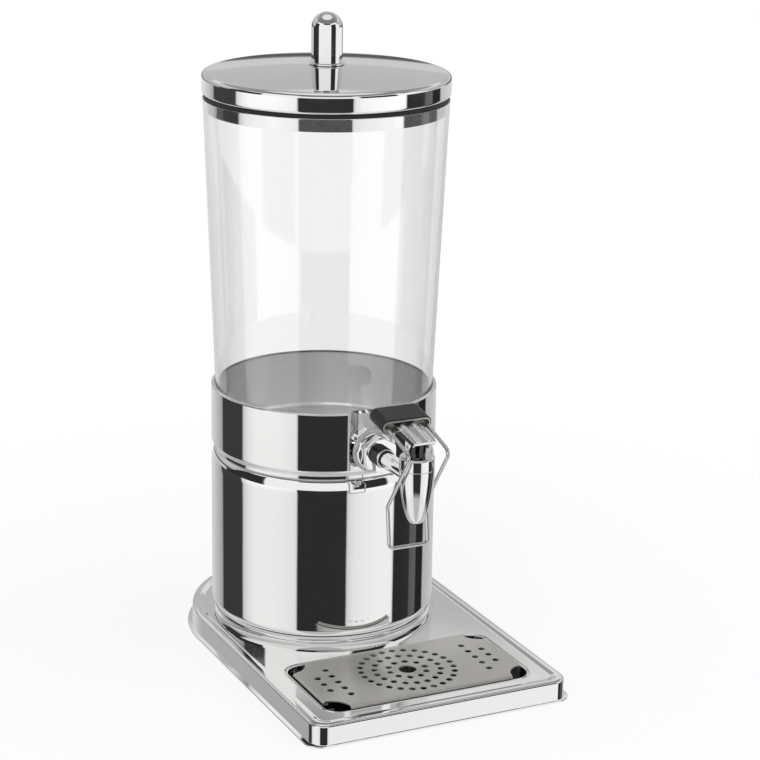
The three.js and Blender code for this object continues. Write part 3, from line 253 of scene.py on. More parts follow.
def dress(piece, material, body, slot, *nodes, sharp=32, slope=None):
    """Finishes a piece: smooth normals, material, the body that it rides on, and what it replaces."""
    data = piece.data
    data.shade_smooth()
    data.set_sharp_from_angle(angle=math.radians(sharp))
    weigh = piece.modifiers.new("normals", "WEIGHTED_NORMAL")
    weigh.mode, weigh.weight, weigh.keep_sharp = "FACE_AREA", 50, True
    apply_modifiers(piece)
    if slope is not None:
        cone_normals(piece, slope)
    piece.data.materials.clear()
    piece.data.materials.append(material)
    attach(piece, body)
    if nodes:
        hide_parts(*nodes)
    print(piece.name, len(piece.data.polygons), "faces")
    return piece


# %% [markdown]
# The camera stands to the left of the dispenser and a little above it.
# Its place and turn were solved from the round rims and the straight edges of the base.
# The slight roll is in the photograph too.

# %% Camera
CAMERA_AT = np.array([-789.7, -1722.2, 796.3])  # about the container's axis
CAMERA_TURN = math.radians(-26.06)
CAMERA_PITCH = math.radians(16.99)
CAMERA_ROLL = math.radians(0.94)
LENS_MM, SENSOR_MM = 111.53, 36

level_right = np.array([math.cos(CAMERA_TURN), math.sin(CAMERA_TURN), 0])
level_ahead = np.array([-math.sin(CAMERA_TURN), math.cos(CAMERA_TURN), 0])
ahead = level_ahead * math.cos(CAMERA_PITCH) - np.array([0, 0, math.sin(CAMERA_PITCH)])
above = np.cross(level_right, ahead)
right = level_right * math.cos(CAMERA_ROLL) + above * math.sin(CAMERA_ROLL)
up = above * math.cos(CAMERA_ROLL) - level_right * math.sin(CAMERA_ROLL)

camera_data = bpy.data.cameras.new("camera")
camera_data.lens, camera_data.sensor_width = LENS_MM, SENSOR_MM
camera_data.clip_start, camera_data.clip_end = 0.05, 60
camera = add_object("camera", camera_data)
turn = Matrix(np.column_stack([right, up, -ahead]).tolist()).to_4x4()
camera.matrix_world = Matrix.Translation(Vector(in_row(CAMERA_AT))) @ turn
bpy.context.scene.camera = camera
bpy.context.scene.view_settings.view_transform = "Standard"

# %% [markdown]
# Small helpers serve all materials and the world. Colours are written as sRGB hex values.
# Blender works in linear light, so one function converts them.
# Another adds a node, sets it up and links it in one call.

# %% Colours and nodes
def linear(hex_colour):
    """sRGB hex to linear: below 0.04045 a channel is divided by 12.92, above it follows a 2.4 power."""
    channels = [int(hex_colour[i:i + 2], 16) / 255 for i in (1, 3, 5)]
    return [c / 12.92 if c <= 0.04045 else ((c + 0.055) / 1.055) ** 2.4 for c in channels] + [1.0]


def scaled(colour, share):
    """A linear colour times a share, with no channel above white."""
    return [min(c * share, 1) for c in colour[:3]] + [1]


def set_inputs(tree, node, **inputs):
    """Gives each input a plain value, or feeds it from an output or from a node's first output.
    An input is named by its label, or by its number after an underscore."""
    for name, value in inputs.items():
        socket = node.inputs[int(name[1:]) if name[0] == "_" else name.replace("_", " ")]
        if isinstance(value, bpy.types.Node):
            value = value.outputs[0]
        if isinstance(value, bpy.types.NodeSocket):
            tree.links.new(value, socket)
        else:
            socket.default_value = value


def add_node(tree, kind, settings=(), **inputs):
    """Adds a node with its settings and inputs."""
    node = tree.nodes.new(kind)
    for name, value in dict(settings).items():
        setattr(node, name, value)
    set_inputs(tree, node, **inputs)
    return node


def only_node(tree, kind):
    """The one node of a kind, such as the tree's shader or its output."""
    return next(node for node in tree.nodes if node.type == kind)


def fill_ramp(node, stops):
    """Puts (place, grey) stops on a colour ramp."""
    elements = node.color_ramp.elements
    while len(elements) < len(stops):
        elements.new(0.5)
    for element, (place, grey) in zip(elements, stops):
        element.position = place
        element.color = (grey, grey, grey, 1)


def new_material(name):
    """A material with only a Principled shader. Its node tree and the shader come with it."""
    material = bpy.data.materials.new(name)
    material.use_nodes = True
    tree = material.node_tree
    tree.nodes.clear()
    shader = tree.nodes.new("ShaderNodeBsdfPrincipled")
    output = tree.nodes.new("ShaderNodeOutputMaterial")
    tree.links.new(shader.outputs["BSDF"], output.inputs["Surface"])
    return material, tree, shader


SMOOTH = {"interpolation_type": "SMOOTHSTEP"}
GREYS, COLOURS = {"data_type": "FLOAT"}, {"data_type": "RGBA"}

# %% [markdown]
# Polished steel shows what stands round it, and little else.
# A product photographer hangs white cloths and black cards round such an object.
# Their mirror images are the bright and dark bands on its walls.
# So the world is painted by direction, and its bands follow the compass.
# Angles count from the camera's side of the axis, positive to the camera's right.
# A second row of cards hangs at the height that the knob mirrors.

# %% Studio bands
CARDS = [  # degrees round from the camera, and the brightness seen there
    (-180, 0.70), (-153, 0.66), (-134, 0.48), (-129, 0.40), (-127, 0.40), (-125, 0.045), (-91, 0.045),
    (-89.5, 0.66), (-81.5, 0.87), (-73, 0.96), (-50, 0.96), (-38, 0.92), (-27, 0.86), (-25.5, 0.028),
    (24, 0.028), (25.5, 0.74), (33, 0.9), (45, 0.95), (60, 1.0), (72, 1.0), (77, 0.97), (78.5, 0.025),
    (101, 0.03), (102.5, 0.11), (112.5, 0.13), (114, 0.02), (127.5, 0.02), (129, 0.50), (150, 0.58),
    (180, 0.66),
]
KNOB_CARDS = [
    (-180, 0.70), (-153, 0.66), (-134, 0.60), (-117, 0.70), (-113, 0.03), (-62, 0.03), (-60, 1.0), (29, 1.0),
    (32, 0.03), (66, 0.03), (69, 1.0), (136, 1.0), (142, 0.30), (155, 0.30), (180, 0.66),
]
CAMERA_SIDE = math.radians(114.6)  # turns the camera's side to direction zero

world = bpy.data.worlds.new("studio")
bpy.context.scene.world = world
world.use_nodes = True
tree = world.node_tree
tree.nodes.clear()
seen_from = add_node(tree, "ShaderNodeTexCoord")
turned_round = add_node(tree, "ShaderNodeMapping", {"vector_type": "POINT"},
                        Vector=seen_from.outputs["Generated"], Rotation=(0, 0, CAMERA_SIDE))
axes = add_node(tree, "ShaderNodeSeparateXYZ", Vector=turned_round.outputs["Vector"])
compass = add_node(tree, "ShaderNodeMath", {"operation": "ARCTAN2"},
                   _0=axes.outputs["Y"], _1=axes.outputs["X"])
share = add_node(tree, "ShaderNodeMapRange", Value=compass, From_Min=-math.pi, From_Max=math.pi)
cards, knob_cards = (add_node(tree, "ShaderNodeValToRGB", Fac=share) for row in range(2))
for ramp, row in ((cards, CARDS), (knob_cards, KNOB_CARDS)):
    fill_ramp(ramp, [((angle + 180) / 360, value) for angle, value in row])

# %% [markdown]
# Heights in the studio are sines of the elevation. The lower row fades into the knob's row above the lid.
# The bands end a little above the horizon in front, where the ceiling begins.
# Behind the dispenser the backdrop goes from grey at the horizon to nearly white above.
# Far below the horizon everything mirrors the white table, with the bands as faint streaks in it.

# %% Studio by height
height = axes.outputs["Z"]
lift = add_node(tree, "ShaderNodeMapRange", Value=height, From_Min=-0.345, From_Max=-0.17,
                To_Min=1.0, To_Max=1.2)
low_row = add_node(tree, "ShaderNodeMath", {"operation": "MULTIPLY"}, _0=cards.outputs["Color"], _1=lift)
above_lid = add_node(tree, "ShaderNodeMapRange", Value=height, From_Min=-0.1665, From_Max=-0.1640)
under_dome = add_node(tree, "ShaderNodeMapRange", Value=height, From_Min=0.40, From_Max=0.44,
                      To_Min=1.0, To_Max=0.0)
at_knob = add_node(tree, "ShaderNodeMath", {"operation": "MULTIPLY"}, _0=above_lid, _1=under_dome)
lit_cards = add_node(tree, "ShaderNodeMix", GREYS, Factor=at_knob, _2=low_row, _3=knob_cards)
backdrop = add_node(tree, "ShaderNodeValToRGB", Fac=height)
fill_ramp(backdrop, [(0.0, 0.10), (0.035, 0.16), (0.06, 0.62), (0.148, 0.65), (0.168, 0.55),
                     (0.385, 0.52), (0.41, 0.80), (0.50, 0.80), (0.56, 0.36), (0.85, 0.34),
                     (0.9, 0.8), (1.0, 0.85)])
overhead = add_node(tree, "ShaderNodeMapRange", SMOOTH, Value=height, From_Min=0.86, From_Max=0.93,
                    To_Min=0.22, To_Max=0.92)
in_front = add_node(tree, "ShaderNodeMapRange", SMOOTH, Value=axes.outputs["X"], From_Min=-0.35, From_Max=0.2)
ceiling = add_node(tree, "ShaderNodeMix", GREYS, Factor=in_front, _2=backdrop, _3=overhead)
cards_end = add_node(tree, "ShaderNodeMapRange", Value=in_front, To_Min=-0.10, To_Max=0.50)
above_cards = add_node(tree, "ShaderNodeMath", {"operation": "SUBTRACT"}, _0=height, _1=cards_end)
rises = add_node(tree, "ShaderNodeMapRange", SMOOTH, Value=above_cards, From_Max=0.07)
upper = add_node(tree, "ShaderNodeMix", GREYS, Factor=rises, _2=lit_cards, _3=ceiling)
falls = add_node(tree, "ShaderNodeMapRange", SMOOTH, Value=height, From_Min=-0.54, From_Max=-0.62)
pale_cards = add_node(tree, "ShaderNodeMapRange", Value=cards.outputs["Color"], To_Min=0.52, To_Max=0.88)
mirrored = add_node(tree, "ShaderNodeMix", GREYS, Factor=falls, _2=upper, _3=pale_cards)

# %% [markdown]
# The camera itself sees plain white, also through the clear container.
# Soft surfaces get an even white light. Only rays that left a glossy surface see the studio's cards.

# %% What each ray sees
rays = add_node(tree, "ShaderNodeLightPath")
after_mirror = add_node(tree, "ShaderNodeMath", {"operation": "GREATER_THAN"},
                        _0=rays.outputs["Glossy Depth"], _1=0.5)
straight = add_node(tree, "ShaderNodeMath", {"operation": "MAXIMUM"},
                    _0=rays.outputs["Is Camera Ray"], _1=rays.outputs["Is Transmission Ray"])
plain = add_node(tree, "ShaderNodeMix", GREYS, Factor=straight, _2=0.62, _3=1.0)
level = add_node(tree, "ShaderNodeMix", GREYS, Factor=after_mirror, _2=plain, _3=mirrored)
shine = add_node(tree, "ShaderNodeBackground", Color=(1, 1, 1, 1), Strength=level)
add_node(tree, "ShaderNodeOutputWorld", Surface=shine)
world.cycles.sampling_method = "NONE"

# %% [markdown]
# Two large soft lamps add direction to that even light. Metal doesn't mirror them.
# The table is white paper. For the camera part of its white is its own, more so far from the dispenser,
# so only a soft shadow shows. Rays that come from a mirror pass it and see the studio below the horizon.

# %% Lamps and table
def soft_lamp(name, place, target, size, power):
    """A square area lamp that faces a point."""
    lamp = bpy.data.lights.new(name, "AREA")
    lamp.shape, lamp.size, lamp.energy = "SQUARE", size, power
    holder = add_object(name, lamp)
    holder.location = place
    holder.rotation_euler = (Vector(target) - Vector(place)).to_track_quat("-Z", "Y").to_euler()
    holder.visible_glossy = False


soft_lamp("key", (-1.5, -1.6, 2.4), (0, 0, 0.2), 1.6, 30)
soft_lamp("fill", (1.9, -0.9, 1.8), (0, 0, 0.2), 1.6, 14)

paper, tree, shader = new_material("white_paper_table")
grain = add_node(tree, "ShaderNodeTexCoord")
fibre = add_node(tree, "ShaderNodeTexNoise", Vector=grain.outputs["Object"], Scale=900.0, Detail=3.0)
shade = add_node(tree, "ShaderNodeMapRange", Value=fibre.outputs["Fac"], To_Min=0.93, To_Max=0.97)
tone = add_node(tree, "ShaderNodeCombineColor", Red=shade, Green=shade, Blue=shade)
set_inputs(tree, shader, Base_Color=tone, Roughness=0.9, Specular_IOR_Level=0.0)
own = add_node(tree, "ShaderNodeEmission", Color=(1, 1, 1, 1), Strength=1.0)
rays = add_node(tree, "ShaderNodeLightPath")
straight = add_node(tree, "ShaderNodeMath", {"operation": "MAXIMUM"},
                    _0=rays.outputs["Is Camera Ray"], _1=rays.outputs["Is Transmission Ray"])
seen = add_node(tree, "ShaderNodeMath", {"operation": "MAXIMUM"},
                _0=straight, _1=rays.outputs["Is Glossy Ray"])
apart = add_node(tree, "ShaderNodeVectorMath", {"operation": "LENGTH"}, _0=grain.outputs["Object"])
whiter = add_node(tree, "ShaderNodeMapRange", SMOOTH, Value=apart.outputs["Value"],
                  From_Min=0.15, From_Max=0.75, To_Min=0.80, To_Max=1.0)
part = add_node(tree, "ShaderNodeMath", {"operation": "MULTIPLY"}, _0=seen, _1=whiter)
white = add_node(tree, "ShaderNodeMixShader", Fac=part, _1=shader, _2=own)
after_mirror = add_node(tree, "ShaderNodeMath", {"operation": "GREATER_THAN"},
                        _0=rays.outputs["Glossy Depth"], _1=0.5)
passed = add_node(tree, "ShaderNodeBsdfTransparent")
sheet = add_node(tree, "ShaderNodeMixShader", Fac=after_mirror, _1=white, _2=passed)
set_inputs(tree, only_node(tree, "OUTPUT_MATERIAL"), Surface=sheet)

TABLE_HALF = 20  # metres
table_data = bpy.data.meshes.new("table")
table_data.from_pydata([(x * TABLE_HALF, y * TABLE_HALF, 0) for x, y in ((-1, -1), (1, -1), (1, 1), (-1, 1))],
                       [], [(0, 1, 2, 3)])
table = add_object("table", table_data)
table_data.materials.append(paper)
table.visible_glossy = False

# %% [markdown]
# Most of the body is 304 stainless sheet, polished after pressing and spinning.
# It mirrors sharply, but a pressed sheet is never quite flat, so the bands run a little uneven.
# Polishing leaves hair-fine lines that only change the gloss.

# %% Polished stainless sheet
NOISE_SPREAD = {"From_Min": 0.3, "From_Max": 0.7}  # most of a noise texture lies between these values


def sheet_steel(name, colour, roughness, spread, wave, wave_size):
    """Metal with slow waves in its surface and cloudy gloss. Sizes are in millimetres."""
    material, tree, shader = new_material(name)
    where = add_node(tree, "ShaderNodeTexCoord")
    swell = add_node(tree, "ShaderNodeTexNoise", Vector=where.outputs["Object"], Scale=1000 / wave_size,
                     Detail=1.0, Roughness=0.4)
    clouds = add_node(tree, "ShaderNodeTexNoise", Vector=where.outputs["Object"], Scale=1000 / 9, Detail=5.0)
    gloss = add_node(tree, "ShaderNodeMapRange", Value=clouds.outputs["Fac"], **NOISE_SPREAD,
                     To_Min=roughness - spread, To_Max=roughness + spread)
    relief = add_node(tree, "ShaderNodeBump", Height=swell.outputs["Fac"], Strength=1.0, Distance=wave * MM)
    set_inputs(tree, shader, Metallic=1.0, Base_Color=linear(colour), Roughness=gloss, Normal=relief)
    return material


polished_stainless = sheet_steel("polished_stainless", "#EDEDEC", 0.035, 0.015, 0.11, 55)
lid_stainless = sheet_steel("polished_stainless_lid", "#EDEDEC", 0.03, 0.012, 0.03, 70)
chrome_plate = sheet_steel("chrome_plated_brass", "#F0F1F2", 0.03, 0.01, 0.01, 20)
black_chrome = sheet_steel("black_chrome", "#4A4A4C", 0.06, 0.02, 0.01, 20)

# %% [markdown]
# The pedestal mirrors only the studio, down to its foot.
# So the base isn't mirrored, and the pedestal's mirror rays pass the cover and the tray below it.
# Rays from below still meet the cover, which keeps its holes dark.
# The tray's floor lies in the cover's shade, and that shade is painted: its steel's base colour is darker
# there.

# %% Steel of the drip tray
COVER_MIDDLE = 19.9  # height of the middle of the cover's sheet
FAR_IMAGE = 45  # a mirror's ray this long comes from the pedestal
SHADE_FOOT, SHADE_TOP = 6.2, 9.2  # heights between which the painted shade of the cover ends


def out_of_mirrors(material, top):
    """Lets a mirror's rays pass above a height, or from far away, and on through every other piece."""
    tree = material.node_tree
    output = only_node(tree, "OUTPUT_MATERIAL")
    surface = output.inputs["Surface"].links[0].from_socket
    where = add_node(tree, "ShaderNodeTexCoord")
    place = add_node(tree, "ShaderNodeSeparateXYZ", Vector=where.outputs["Object"])
    rays = add_node(tree, "ShaderNodeLightPath")
    on_top = add_node(tree, "ShaderNodeMath", {"operation": "GREATER_THAN"},
                      _0=place.outputs["Z"], _1=top * MM)
    far = add_node(tree, "ShaderNodeMath", {"operation": "GREATER_THAN"},
                   _0=rays.outputs["Ray Length"], _1=FAR_IMAGE * MM)
    either = add_node(tree, "ShaderNodeMath", {"operation": "MAXIMUM"}, _0=on_top, _1=far)
    going_on = add_node(tree, "ShaderNodeMath", {"operation": "MAXIMUM"},
                        _0=either, _1=rays.outputs["Transparent Depth"])
    passing = add_node(tree, "ShaderNodeMath", {"operation": "MULTIPLY", "use_clamp": True},
                       _0=going_on, _1=rays.outputs["Is Glossy Ray"])
    passed = add_node(tree, "ShaderNodeBsdfTransparent")
    mixed = add_node(tree, "ShaderNodeMixShader", Fac=passing, _1=surface, _2=passed)
    set_inputs(tree, output, Surface=mixed)


tray_stainless = sheet_steel("polished_stainless_tray", "#EDEDEC", 0.035, 0.015, 0.11, 55)
out_of_mirrors(tray_stainless, COVER_MIDDLE)
tree = tray_stainless.node_tree
where = add_node(tree, "ShaderNodeTexCoord")
place = add_node(tree, "ShaderNodeSeparateXYZ", Vector=where.outputs["Object"])
above_floor = add_node(tree, "ShaderNodeMapRange", Value=place.outputs["Z"],
                       From_Min=SHADE_FOOT * MM, From_Max=SHADE_TOP * MM)
# Painted shade: the steel's colour darkens towards the tray's floor, where the cover shades it.
painted_shade = add_node(tree, "ShaderNodeMix", COLOURS, Factor=above_floor,
                  _6=linear("#5A5A5B"), _7=linear("#EDEDEC"))
set_inputs(tree, only_node(tree, "BSDF_PRINCIPLED"), Base_Color=painted_shade.outputs[2])

# %% [markdown]
# The ring is polished only where it shows. Inside it keeps the dull face of the sheet.
# So its gloss depends on the distance from the axis, up to the rolled lip.
# That face was rolled, so it spreads light more along one direction than across it.

# %% Dull inside of the ring
RING_MIDDLE, RING_LIP = 94.0, 214.6  # radius of the sheet's middle, and the height where the lip starts
DULL = 0.36

ring_stainless = sheet_steel("stainless_brushed_inside", "#EDEDEC", 0.035, 0.015, 0.11, 55)
tree = ring_stainless.node_tree
shader = only_node(tree, "BSDF_PRINCIPLED")
gloss = shader.inputs["Roughness"].links[0].from_socket
where = add_node(tree, "ShaderNodeTexCoord")
flat_place = add_node(tree, "ShaderNodeVectorMath", {"operation": "MULTIPLY_ADD"}, _0=where.outputs["Object"],
                      _1=(1, 1, 0), _2=(0, -AXIS_BACK * MM, 0))
distance = add_node(tree, "ShaderNodeVectorMath", {"operation": "LENGTH"}, _0=flat_place)
inward = add_node(tree, "ShaderNodeMapRange", Value=distance.outputs["Value"],
                  From_Min=(RING_MIDDLE - 0.2) * MM, From_Max=(RING_MIDDLE + 0.2) * MM,
                  To_Min=DULL, To_Max=0.0)
place = add_node(tree, "ShaderNodeSeparateXYZ", Vector=where.outputs["Object"])
below_lip = add_node(tree, "ShaderNodeMath", {"operation": "LESS_THAN"},
                     _0=place.outputs["Z"], _1=RING_LIP * MM)
dull = add_node(tree, "ShaderNodeMath", {"operation": "MULTIPLY"}, _0=inward, _1=below_lip)
rougher = add_node(tree, "ShaderNodeMath", {"operation": "MAXIMUM"}, _0=gloss, _1=dull)
scatter = add_node(tree, "ShaderNodeMapRange", Value=dull, From_Max=DULL, To_Min=1.0, To_Max=0.45)
set_inputs(tree, shader, Roughness=rougher, Metallic=scatter, Anisotropic=0.95, Anisotropic_Rotation=0.25)

# %% [markdown]
# The drip cover is the same steel, rubbed lengthwise with a belt.
# Its grain is hundreds of fine scratches along X, a few tenths of a millimetre apart.
# They stretch each reflection across the grain, so its gloss is anisotropic.
# The cup, the cooling plate and the bottom cover have a duller rolled face.

# %% Brushed stainless sheet
def brushed_steel(name, colour, roughness, scratch=0.35, metallic=1.0):
    """Scratches are noise that is stretched a hundred times along X. The scratch pitch is in millimetres."""
    material, tree, shader = new_material(name)
    where = add_node(tree, "ShaderNodeTexCoord")
    along = add_node(tree, "ShaderNodeMapping", Vector=where.outputs["Object"],
                     Scale=(10 / scratch, 1000 / scratch, 1000 / scratch))
    lines = add_node(tree, "ShaderNodeTexNoise", Vector=along.outputs["Vector"], Scale=1.0, Detail=4.0,
                     Roughness=0.65)
    clouds = add_node(tree, "ShaderNodeTexNoise", Vector=where.outputs["Object"], Scale=1000 / 40, Detail=2.0)
    tint = add_node(tree, "ShaderNodeMix", COLOURS, Factor=lines.outputs["Fac"],
                    _6=scaled(linear(colour), 0.9), _7=linear(colour))
    gloss = add_node(tree, "ShaderNodeMapRange", Value=clouds.outputs["Fac"],
                     To_Min=roughness - 0.04, To_Max=roughness + 0.04)
    relief = add_node(tree, "ShaderNodeBump", Height=lines.outputs["Fac"], Strength=0.35, Distance=0.03 * MM)
    set_inputs(tree, shader, Metallic=metallic, Anisotropic=0.6, Base_Color=tint.outputs[2],
               Roughness=gloss, Normal=relief)
    return material


brushed_stainless = brushed_steel("brushed_stainless", "#DCDAD6", 0.33)
satin_stainless = brushed_steel("satin_stainless_inside", "#D6D6D5", 0.38, 0.6, metallic=0.45)
out_of_mirrors(brushed_stainless, COVER_MIDDLE)

# %% [markdown]
# The container is clear polycarbonate, injection moulded and about 2.6 mm thick.
# The wall has two faces, so light bends in and out as in the real one.
# Moulded walls are a little wavy, which softens what they mirror.
# Its shadow stays as light as a clear wall's.

# %% Clear polycarbonate
clear_polycarbonate, tree, shader = new_material("clear_polycarbonate")
where = add_node(tree, "ShaderNodeTexCoord")
swell = add_node(tree, "ShaderNodeTexNoise", Vector=where.outputs["Object"], Scale=1000 / 45, Detail=1.0)
haze = add_node(tree, "ShaderNodeTexNoise", Vector=where.outputs["Object"], Scale=1000 / 14, Detail=4.0)
gloss = add_node(tree, "ShaderNodeMapRange", Value=haze.outputs["Fac"], From_Min=0.35, From_Max=0.65,
                 To_Min=0.0, To_Max=0.02)
relief = add_node(tree, "ShaderNodeBump", Height=swell.outputs["Fac"], Strength=1.0, Distance=0.008 * MM)
set_inputs(tree, shader, Base_Color=linear("#FEFEFE"), Transmission_Weight=1.0, IOR=1.58,
           Roughness=gloss, Normal=relief)
rays = add_node(tree, "ShaderNodeLightPath")
through = add_node(tree, "ShaderNodeBsdfTransparent", Color=linear("#F6F6F6"))
lit = add_node(tree, "ShaderNodeMixShader", Fac=rays.outputs["Is Shadow Ray"], _1=shader, _2=through)
set_inputs(tree, only_node(tree, "OUTPUT_MATERIAL"), Surface=lit)

# %% [markdown]
# The grip is black ABS with a fine satin grain from its mould, about 0.45 mm from pit to pit.
# It takes the gloss down and breaks up highlights. Rubber and silicone get a coarser grain.

# %% Moulded plastics and rubbers
def moulded(name, colour, roughness, grain, depth, sheen=0.0, clear=0.0):
    """A plastic or rubber with mould grain. Grain and depth are in millimetres."""
    material, tree, shader = new_material(name)
    where = add_node(tree, "ShaderNodeTexCoord")
    pits = add_node(tree, "ShaderNodeTexNoise", Vector=where.outputs["Object"],
                    Scale=1000 / grain, Detail=3.0)
    clouds = add_node(tree, "ShaderNodeTexNoise", Vector=where.outputs["Object"], Scale=1000 / 12, Detail=2.0)
    tint = add_node(tree, "ShaderNodeMix", COLOURS, Factor=clouds.outputs["Fac"],
                    _6=scaled(linear(colour), 0.88), _7=scaled(linear(colour), 1.1))
    gloss = add_node(tree, "ShaderNodeMapRange", Value=pits.outputs["Fac"], **NOISE_SPREAD,
                     To_Min=roughness - 0.06, To_Max=roughness + 0.06)
    relief = add_node(tree, "ShaderNodeBump", Height=pits.outputs["Fac"], Strength=0.6, Distance=depth * MM)
    set_inputs(tree, shader, Sheen_Weight=sheen, Transmission_Weight=clear, Base_Color=tint.outputs[2],
               Roughness=gloss, Normal=relief)
    return material


satin_black_abs = moulded("satin_black_abs", "#222224", 0.42, 0.45, 0.03)
black_rubber = moulded("black_nitrile_rubber", "#1B1B1C", 0.75, 0.6, 0.03, sheen=0.1)
grey_rubber = moulded("grey_silicone_gasket", "#77777A", 0.6, 0.6, 0.03, sheen=0.1)
clear_silicone = moulded("translucent_silicone", "#EDEBE8", 0.22, 0.8, 0.004, clear=0.6)
pack_polyethylene = moulded("blue_polyethylene", "#A9C0D2", 0.4, 1.2, 0.05)

# %% [markdown]
# The insert in the grip is a pale die casting with a fine blasted finish.
# The bail is stainless wire, drawn and tumbled. Bolts, nuts and screw are zinc-plated steel.

# %% Cast, drawn and plated metals
def grained_metal(name, colour, roughness, grain, depth, stretch=1.0):
    """Metal with a fine grain. Grain and depth are in millimetres. Stretch draws the grain out along Z."""
    material, tree, shader = new_material(name)
    where = add_node(tree, "ShaderNodeTexCoord")
    along = add_node(tree, "ShaderNodeMapping", Vector=where.outputs["Object"],
                     Scale=(1000 / grain, 1000 / grain, 1000 / grain / stretch))
    pits = add_node(tree, "ShaderNodeTexNoise", Vector=along.outputs["Vector"], Scale=1.0, Detail=3.0)
    tint = add_node(tree, "ShaderNodeMix", COLOURS, Factor=pits.outputs["Fac"],
                    _6=scaled(linear(colour), 0.86), _7=linear(colour))
    gloss = add_node(tree, "ShaderNodeMapRange", Value=pits.outputs["Fac"], **NOISE_SPREAD,
                     To_Min=roughness - 0.05, To_Max=roughness + 0.05)
    relief = add_node(tree, "ShaderNodeBump", Height=pits.outputs["Fac"], Strength=0.5, Distance=depth * MM)
    set_inputs(tree, shader, Metallic=1.0, Base_Color=tint.outputs[2], Roughness=gloss, Normal=relief)
    return material


cast_zinc = grained_metal("satin_zinc_casting", "#E4E2DE", 0.38, 0.5, 0.02)
stainless_wire = grained_metal("drawn_stainless_wire", "#DCDBD9", 0.14, 0.4, 0.006, stretch=8)
zinc_steel = grained_metal("zinc_plated_steel", "#C2C6CA", 0.34, 0.7, 0.015)

# %% [markdown]
# The base is one pressed pan with a round back, straight sides and two small front corners.
# Each level of the pan is the same outline, drawn in or out, so the pan is a loft of outlines.
# The rim is a few millimetres wide and steps down to the deck.

# %% Base outline
BASE_HALF, BASE_FRONT, BASE_CORNER = 111.6, 233.9, 13.0
BASE_HEIGHT, BASE_SHEET, BASE_EDGE = 19.3, 1.2, 2.4
FLANGE, FRONT_FLANGE, FOOT_LIFT = 4.2, 0.6, 1.0
RIM, RIM_RUN, RIM_DROP = 6.1, 3.2, 1.1
DECK = BASE_HEIGHT - RIM_DROP
BOSS, BOSS_RADIUS, BOSS_SHOULDER = 2.8, 96.0, 7.5


def base_outline(half, front, corner):
    """A half circle about the axis, two straight sides, and two corners of a smaller radius."""
    return path(arc(0, 0, half, half, 0, 180, 96),
                arc(corner - half, corner - front, corner, corner, 180, 270, 12),
                arc(half - corner, corner - front, corner, corner, 270, 360, 12))


def base_ring(inset, z):
    """The outline drawn in by an inset. Its corners lose six tenths of that."""
    return at_height(base_outline(BASE_HALF - inset, BASE_FRONT - inset, BASE_CORNER - inset * 0.6), z)


def flange_ring(share, z):
    """The foot's outline, part of the way out to its edge."""
    return at_height(base_outline(BASE_HALF + FLANGE * share, BASE_FRONT + FRONT_FLANGE * share,
                                  BASE_CORNER + FRONT_FLANGE * share), z)


# %% [markdown]
# The well for the drip tray has rounded corners and a rolled mouth.
# The boss lifts the pedestal a little above the deck, so that spilled juice runs off.
# Both are joined to the pan or cut from it, as the press did.

# %% Well outline
TRAY_FRONT, WELL_HALF, WELL_DEEP_HALF, WELL_CORNER = 166.5, 91.0, 48.0, 15.0
WELL_FLOOR = DECK - 14.0
WELL_EDGE = 1.8


def tray_ring(half_width, half_depth, corner, z, steps=14):
    """A rounded rectangle about the middle of the drip tray."""
    x, y = half_width - corner, half_depth - corner
    outline = path(arc(x, y, corner, corner, 0, 90, steps), arc(-x, y, corner, corner, 90, 180, steps),
                   arc(-x, -y, corner, corner, 180, 270, steps), arc(x, -y, corner, corner, 270, 360, steps))
    return at_height(outline - [0, TRAY_FRONT], z)


def well_ring(outset, z):
    """The well's outline, widened by an outset."""
    return tray_ring(WELL_HALF + outset, WELL_DEEP_HALF + outset, WELL_CORNER + outset, z)


# %% Base pan
half_sheet = BASE_SHEET / 2
foot_edge = arc(0.9, FOOT_LIFT + half_sheet, 0.1, half_sheet, -60, 60, 4)
top_edge = arc(BASE_EDGE, BASE_HEIGHT - BASE_EDGE, BASE_EDGE, BASE_EDGE, 180, 90, 10)
base_pan = solid("base_pan_sheet", lofted([
    base_ring(RIM + RIM_RUN, DECK - BASE_SHEET),
    base_ring(RIM, BASE_HEIGHT - BASE_SHEET),
    base_ring(BASE_EDGE, BASE_HEIGHT - BASE_SHEET),
    base_ring(BASE_SHEET, BASE_HEIGHT - BASE_EDGE),
    base_ring(BASE_SHEET, FOOT_LIFT),
    flange_ring(0.9, FOOT_LIFT),
    *[flange_ring(share, z) for share, z in foot_edge],
    flange_ring(0.9, FOOT_LIFT + BASE_SHEET),
    flange_ring(0.14, FOOT_LIFT + BASE_SHEET),
    base_ring(-0.15, FOOT_LIFT + BASE_SHEET + 0.12),
    base_ring(0, FOOT_LIFT + BASE_SHEET + 0.5),
    *[base_ring(inset, z) for inset, z in top_edge],
    base_ring(RIM - 0.7, BASE_HEIGHT),
    base_ring(RIM, BASE_HEIGHT - 0.08),
    base_ring(RIM + 0.7, BASE_HEIGHT - 0.3),
    base_ring(RIM + RIM_RUN - 0.9, DECK + 0.3),
    base_ring(RIM + RIM_RUN - 0.2, DECK + 0.09),
    base_ring(RIM + RIM_RUN + 0.7, DECK),
]))
well_wall = lofted([well_ring(BASE_SHEET, WELL_FLOOR - BASE_SHEET), well_ring(BASE_SHEET, DECK - half_sheet)])
mouth = arc(WELL_EDGE, DECK - WELL_EDGE, WELL_EDGE, WELL_EDGE, 180, 90, 8)
well_hollow = lofted([
    well_ring(-1.5, WELL_FLOOR), well_ring(-0.45, WELL_FLOOR + 0.45), well_ring(0, WELL_FLOOR + 1.5),
    *[well_ring(outset, z) for outset, z in mouth], well_ring(WELL_EDGE, DECK + 4)])
boss_shoulder = arc(BOSS_RADIUS - BOSS_SHOULDER, DECK, BOSS_SHOULDER, BOSS, 0, 90, 20)
